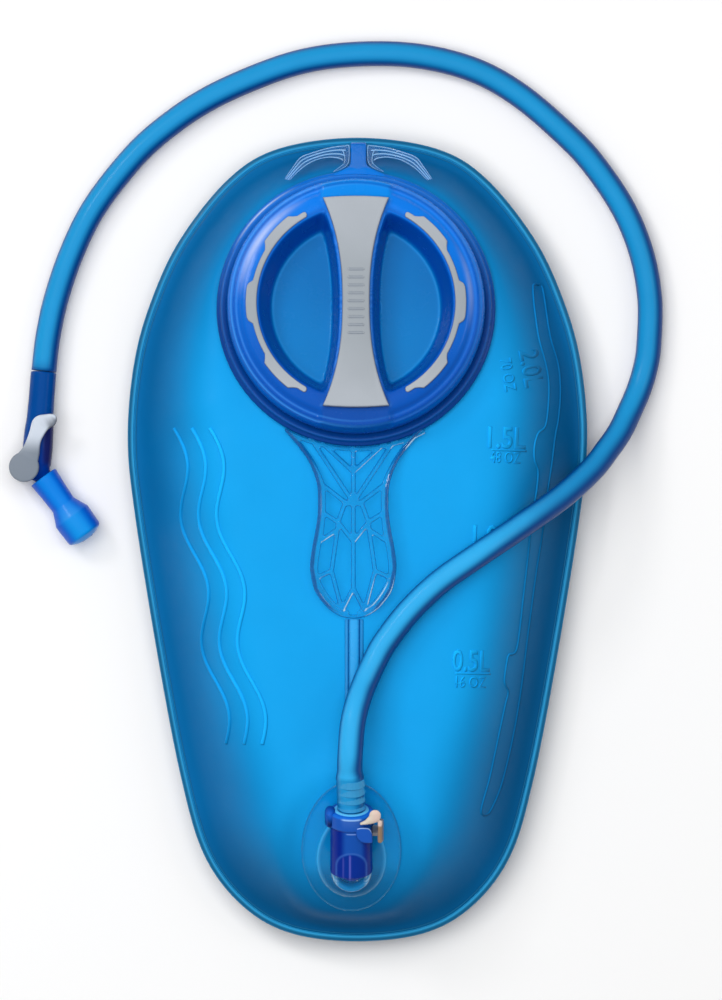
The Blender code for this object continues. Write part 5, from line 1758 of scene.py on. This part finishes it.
@dataclass
class DrinkingHose:
    """Hose along its given route, swollen over the barb where it is pushed on."""

    port: ExitPort
    radius: float = 5.2 * MM
    length: float = 0.652
    barb_length: float = 14.4 * MM
    barb_swell: float = 0.5 * MM
    ring_rise: float = 0.14 * MM
    ring_gap: float = 3.5 * MM
    # Direction of the light painted onto the tube.
    lit_from: Vector = field(default_factory=lambda: Vector((-0.28, 0.12, 0.95)).normalized())
    route: tuple[tuple[float, float, float], ...] = (
        (-3.1, -95.9, 65.2), (-2.9, -87, 68.0), (-1.9, -75, 67.4), (0.4, -65.5, 64.2), (3.4, -57.6, 60.6),
        (7.2, -49.4, 58.4), (11.6, -41.5, 57.8), (21.8, -28.5, 57.8), (34.3, -16.8, 57.6),
        (50.9, -5.2, 56.0), (67.6, 6.0, 48.2), (84.2, 17.7, 36.6), (96.7, 28.9, 26.6), (103.4, 37.2, 20.2),
        (108.6, 44.6, 15.0), (112.6, 52.6, 10.4), (116.8, 62.2, 7.0), (119.6, 71.5, 5.8),
        (121.0, 80.9, 5.5), (121.4, 99.6, 5.5), (118.1, 118.3, 5.5), (110.6, 137, 5.5), (98.1, 155.7, 5.5),
        (86.0, 168.6, 5.5), (67.4, 184.4, 5.5), (48.5, 194.9, 5.5), (25.5, 200.7, 5.5), (1.5, 201.6, 5.5),
        (-21.5, 198.8, 5.5), (-42.6, 191.9, 5.5), (-64.5, 181.5, 5.5), (-83.2, 168.2, 5.5),
        (-96.0, 155.4, 5.5), (-109.8, 137, 5.5), (-118.9, 118.3, 5.5), (-125.2, 99.6, 5.6),
        (-128.6, 83.5, 5.9), (-130.2, 69.9, 6.4),
    )

    def make(self) -> bpy.types.Object:
        """Hose from the quick link to the shut-off valve.

        Returns:
            The hose; it is declared as a cord once the mouthpiece is made.
        """
        start = self.port.barrel_frame @ Vector((0, 0, 23.8 * MM))
        points = [tuple(start)] + [tuple(v * MM for v in point) for point in self.route]
        self.line = evenly(smooth_path(points, 16, False), 420, False)
        middle = [Vector(point) for point in self.line]
        steps = [(ahead - behind).length for behind, ahead in zip(middle, middle[1:])]
        radii = [self.radius_at(travelled) for travelled in np.cumsum([0.0, *steps])]
        bm = Mould.grow(Mould.hoops(middle, radii, 32), fill_first=True, fill_last=True)
        return Mould.piece("drinking_hose", bm, HOSE, Body.BLADDER, ["hose"], paint=self.colour, smooth=180)

    def radius_at(self, travelled: float) -> float:
        """Radius along the hose: swollen in soft rings over the barb."""
        on_barb = 1 - ease((travelled - self.barb_length) / (3 * MM))
        rings = self.ring_rise * math.cos(travelled / self.ring_gap * math.tau)
        return self.radius + on_barb * (self.barb_swell + rings)

    def colour(self, point: Vector, normal: Vector) -> Colour:
        """Tinted tube: painted light where it faces the upper left, and deep down its sides, partly painted shade and
        partly the tint seen through more of the tube.
        """
        on_film = ease((95 * MM - point.x) / (30 * MM)) * ease((40 * MM - point.y) / (20 * MM))
        deep_tint_and_shade, light = (0.0, 0.055, 0.25), mix((0.011, 0.29, 0.62), (0.028, 0.40, 0.80), on_film)
        # Painted light and shade from lit_from.
        tone = ease((normal.dot(self.lit_from) - 0.48) / 0.44)
        colour = mix(deep_tint_and_shade, light, tone)
        if point.y < -98 * MM:
            band = 0.5 + 0.5 * math.cos(point.y / (3.3 * MM) * math.tau)
            colour = mix(colour, (0.0, 0.20, 0.48), 0.35 + 0.25 * band)
        if point.x < -110 * MM:
            colour = mix(colour, (0.0, 0.06, 0.28), ease((76 * MM - point.y) / (9 * MM)) * 0.85)
        return colour


@dataclass
class Mouthpiece:
    """Shut-off valve with its lever, and the soft bite valve."""

    sleeve_start: Vector = field(default_factory=lambda: Vector((-130.3, 69.4, 6.4)) * MM)
    elbow: Vector = field(default_factory=lambda: Vector((-133.3, 30, 8.4)) * MM)
    hub: Vector = field(default_factory=lambda: Vector((-138.1, 30.1, 0)) * MM)
    bite_start: Vector = field(default_factory=lambda: Vector((-131.2, 27, 8.4)) * MM)
    bite_axis: Vector = field(default_factory=lambda: Vector((0.588, -0.809, 0)).normalized())
    overlap: float = 0.3 * MM
    elbow_radius: float = 5.7 * MM
    boss_radius: float = 5.9 * MM
    boss_heights: Point2 = (1.8 * MM, 13.6 * MM)
    spigot_reach: float = 15 * MM
    spigot_length: float = 18 * MM
    lever_radius: float = 6.25 * MM
    lever_heights: Point2 = (14.4 * MM, 17.1 * MM)

    def make_body(self) -> bpy.types.Object:
        """Sleeve, housing and spigot melted into one moulding."""
        bm = bmesh.new()
        stations = [(0.0, 5.35), (0.3, 5.4), (0.5, 5.6), (0.62, 6.1), (0.8, 6.3), (0.97, 6.1)]
        for (s0, r0), (s1, r1) in zip(stations, stations[1:]):
            a = self.sleeve_start.lerp(self.elbow, s0)
            b = self.sleeve_start.lerp(self.elbow, s1)
            bmesh.ops.create_cone(bm, cap_ends=True, segments=40, radius1=r0 * MM, radius2=r1 * MM,
                                  depth=(b - a).length + self.overlap, matrix=span_of(a, b))
        bmesh.ops.create_uvsphere(bm, u_segments=32, v_segments=20, radius=self.elbow_radius,
                                  matrix=Matrix.Translation(self.elbow))
        low, high = self.boss_heights
        middle = self.hub + Vector((0, 0, (low + high) / 2))
        bmesh.ops.create_cone(bm, cap_ends=True, segments=40, radius1=self.boss_radius,
                              radius2=self.boss_radius, depth=high - low, matrix=Matrix.Translation(middle))
        end = self.bite_start + self.bite_axis * self.spigot_reach
        turn = self.bite_axis.to_track_quat("Z", "Y").to_matrix().to_4x4()
        bmesh.ops.create_cone(bm, cap_ends=True, segments=32, radius1=3.9 * MM, radius2=3.7 * MM,
                              depth=self.spigot_length,
                              matrix=Matrix.Translation((self.elbow + end) / 2) @ turn)
        bm = Mould.fuse(bm, 0.45 * MM, 3)
        return Mould.piece("shutoff_moulding", bm, LINK, Body.BLADDER, ["shutoff_body"],
                           paint=self.body_colour, smooth=180)

    def body_colour(self, point: Vector, normal: Vector) -> Colour:
        """Dark blue, with painted shade beside the lever and where it faces down."""
        x, y = point.x / MM, point.y / MM
        # Painted shade beside the lever, and darker where the surface faces down.
        beside_lever_shade = ease((x + 131.5) / 2.5) * ease((49.5 - y) / 2) * ease((y - 29) / 4)
        blue = mix((0.0, 0.062, 0.29), (0.0, 0.035, 0.28), ease((50 - y) / 18))
        blue = mix(blue, (0.012, 0.012, 0.095), beside_lever_shade * 0.9)
        return mix(tuple(0.55 * c for c in blue), blue, ease(normal.z + 0.3))

    def make_lever(self) -> bpy.types.Object:
        """Lever: a round hub and a curved blade over the sleeve."""
        hub = [(self.hub.x + self.lever_radius * math.cos(a), self.hub.y + self.lever_radius * math.sin(a))
               for a in np.radians(np.linspace(112, 382, 46))]
        blade = smooth_path([(-131.7, 35.4), (-131.2, 40.2), (-129.4, 43.9), (-127.4, 46.2), (-125.4, 47.5),
                             (-124.5, 49.4), (-124.9, 51.3), (-126.4, 52.1), (-129.1, 51.9), (-132.4, 51.3),
                             (-134.6, 49.2), (-135.9, 44.6), (-137.6, 40.0), (-139.4, 37.0)], 5, False)
        plan = hub + [(x * MM, y * MM) for x, y in blade]
        bm = Mould.plate(plan, *self.lever_heights, 0.9 * MM, 4)
        bmesh.ops.triangulate(bm, faces=[face for face in bm.faces if len(face.verts) > 4])
        return Mould.piece("shutoff_key", bm, LEVER, Body.LEVER, ["shutoff_lever"],
                           paint=self.lever_colour, smooth=50)

    def lever_colour(self, point: Vector, normal: Vector) -> Colour:
        """Cool grey, lighter on the blade, with painted shade down the blade's inner side and on steep edges that face
        +X.
        """
        x, y = point.x / MM, point.y / MM
        light, dark = (0.20, 0.235, 0.285), (0.05, 0.06, 0.08)
        blade = ease((y - 35) / 9)
        # Painted shade down the blade's inner side and on steep edges that face +X.
        side = ease((x + 131.4 - (y - 40) * 0.36) / 1.7) * ease((51.2 - y) / 2)
        edge = ease((0.75 - normal.z) / 0.4) * ease((normal.x + 0.2) / 0.4)
        top = mix(light, (0.60, 0.66, 0.75), blade)
        return mix(top, dark, min(side * blade * 0.75 + edge * 0.6, 1))

    def make_bite(self) -> bpy.types.Object:
        """Bite valve: a tapered neck, a flare and a slightly domed end with its slit."""
        profile = soft_profile([
            (0, 32.9), (4.0, 32.4), (7.2, 31.1), (7.8, 30.2), (8.05, 21.6), (5.3, 15.6), (5.7, 8),
            (6.25, 1.4), (4.4, 1.2), (4.4, 6), (0, 6),
        ], 0.5)
        bm = Mould.turn(profile, 72)
        turn = self.bite_axis.to_track_quat("Z", "Y").to_matrix().to_4x4()
        place = Matrix.Translation(self.bite_start) @ turn
        valve = Mould.piece("bite_valve_skin", bm, SILICONE, Body.MOUTH, ["bite_valve"], place,
                            paint=self.bite_colour, smooth=35)
        slit = bmesh.new()
        end = Vector((2.4, 0, 32.62)) * MM
        Mould.bar(slit, Vector((-end.x, 0, end.z)), end, 0.25 * MM, 0.15 * MM, 10)
        # The slit is a thin bar painted dark: painted shade in the cut.
        lips = Mould.piece("bite_slit", slit, SILICONE, Body.MOUTH, (), place,
                           paint=lambda p, n: (0.0, 0.10, 0.45), smooth=180)
        self.extra = [lips]
        return valve

    @staticmethod
    def bite_colour(point: Vector, normal: Vector) -> Colour:
        """Silicone blue, lighter on the flare, with painted shade down its sides and a painted highlight just below
        the flare.
        """
        flare = ease((point.z / MM - 19) / 4)
        tone = mix((0.0, 0.22, 0.76), (0.001, 0.28, 0.78), flare)
        # Painted shade down the sides that face +X and -X.
        side = ease((0.86 - abs(normal.x)) / 0.6)
        # Painted highlight just below the flare.
        painted_highlight = bell(point.z / MM, 18.8, 1.6) * ease((normal.y - 0.7) / 0.25)
        return mix(mix((0.0, 0.10, 0.60), tone, side), (0.45, 0.66, 0.92), painted_highlight * 0.55)


# Studio


@dataclass(frozen=True)
class Lamp:
    """Soft square lamp aimed at the bladder.

    Attributes:
        name: the lamp's name.
        place: where it stands.
        size: length of its sides.
        power: its power in watts.
        mirrored: whether gloss shows it.
    """

    name: str
    place: tuple[float, float, float]
    size: float
    power: float
    mirrored: bool

    def make(self) -> None:
        """Hang the lamp and aim it."""
        data = bpy.data.lights.new(self.name, "AREA")
        data.size = self.size
        data.energy = self.power
        lamp = bpy.data.objects.new(self.name, data)
        lamp.visible_glossy = self.mirrored
        lamp.location = self.place
        lamp.rotation_mode = "QUATERNION"
        lamp.rotation_quaternion = (Vector((0, 0.02, 0)) - Vector(self.place)).to_track_quat("-Z", "Y")
        bpy.context.collection.objects.link(lamp)


@dataclass
class Studio:
    """Pale floor, soft lights and the camera straight above."""

    centre: Point2 = (1.46 * MM, 16.4 * MM)
    distance: float = 4.0
    tall: float = 415.8 * MM
    sensor: float = 36.0
    floor_half: float = 3.0
    floor_white: float = 0.97
    world_strength: float = 0.3
    lamps: tuple[Lamp, ...] = (
        Lamp("overhead", (-0.28, 0.22, 1.7), 1.6, 24.6, False),
        Lamp("key", (-0.9, 0.8, 1.2), 0.35, 4.0, True),
        Lamp("edge", (1.0, 0.25, 1.1), 0.4, 1.0, True),
    )

    def make(self) -> None:
        """Floor, lights, world and camera."""
        self._floor()
        self._world()
        for lamp in self.lamps:
            lamp.make()
        bpy.context.scene.view_settings.view_transform = "Standard"
        camera = bpy.data.cameras.new("camera")
        camera.sensor_fit = "VERTICAL"
        camera.sensor_height = self.sensor
        camera.lens = self.sensor * self.distance / self.tall
        camera.clip_end = 20
        eye = bpy.data.objects.new("camera", camera)
        eye.location = (*self.centre, self.distance)
        bpy.context.collection.objects.link(eye)
        bpy.context.scene.camera = eye

    def _floor(self) -> None:
        """Plain pale floor."""
        bm = bmesh.new()
        bmesh.ops.create_grid(bm, x_segments=1, y_segments=1, size=self.floor_half)
        mesh = bpy.data.meshes.new("floor")
        bm.to_mesh(mesh)
        bm.free()
        floor = bpy.data.objects.new("floor", mesh)
        floor.location.z = -0.05 * MM
        material = bpy.data.materials.new("floor")
        material.use_nodes = True
        shader = material.node_tree.nodes["Principled BSDF"]
        shader.inputs["Base Color"].default_value = (*[self.floor_white] * 3, 1)
        shader.inputs["Roughness"].default_value = 0.9
        mesh.materials.append(material)
        bpy.context.collection.objects.link(floor)
        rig.stage(floor)

    def _world(self) -> None:
        """Even white surroundings."""
        world = bpy.data.worlds.new("studio")
        world.use_nodes = True
        backing = world.node_tree.nodes["Background"]
        backing.inputs["Color"].default_value = (1, 1, 1, 1)
        backing.inputs["Strength"].default_value = self.world_strength
        bpy.context.scene.world = world


@dataclass
class KeptNodes:
    """Small inner parts whose frame shape is right, dressed in their finishes."""

    finishes: dict[str, Finish] = field(default_factory=lambda: {
        "cap_gasket": SEAL, "port_o_ring": SEAL, "core_o_ring": SEAL, "port_poppet": INNER,
        "latch_plate": INNER, "valve_core": INNER, "port_spring": STEEL, "button_spring": STEEL,
        "hose_barb": BARB,
    })

    def dress(self) -> None:
        """Give each kept node its material."""
        for name, finish in self.finishes.items():
            node = frame["nodes"][name]
            for holder in node.material_slots:
                holder.material = finish.material(finish.slot)
            LOG.info("%s: kept", name)


def main() -> None:
    """Build the studio, the hose and then every sub-assembly."""
    logging.basicConfig(level=logging.INFO, format="%(name)s: %(message)s")
    Studio().make()
    pouch = Pouch()
    port = ExitPort(pouch)
    hose = DrinkingHose(port)
    tube = hose.make()
    mouth = Mouthpiece()
    on_hose = [mouth.make_body(), mouth.make_lever(), mouth.make_bite()]
    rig.cord(tube, exit=tuple(hose.line[0]), length=hose.length, diameter=2 * hose.radius,
            far_end="fitting", stiffness="stiff", lay="loose", path=[tuple(point) for point in hose.line],
            with_pieces=on_hose + mouth.extra + ["valve_core", "core_o_ring"])
    pouch.make_front()
    pouch.make_back()
    pouch.make_rim()
    scale = Scale(pouch)
    scale.make_loop()
    scale.make_figures()
    scale.make_waves()
    hanger = Hanger(pouch)
    hanger.make()
    fill = FillPort(pouch)
    fill.make_neck()
    fill.make_ring()
    fill.make_tab(hanger.height)
    cap = ScrewCap(pouch)
    cap.make_shell()
    cap.make_bar()
    cap.make_arcs()
    CarryHandle(pouch).make()
    SpineStrip(pouch).make()
    port.make_flange()
    port.make_nozzle()
    port.make_guard()
    link = QuickLink(port)
    link.make_barrel()
    link.make_ear()
    link.make_button()
    KeptNodes().dress()
    with open(SIZE_FILE, "w", encoding="utf-8") as out:
        json.dump({"cad": CAD_BOX, "visual": [list(corner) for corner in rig.bounds()]}, out)


if __name__ == "__main__":
    main()
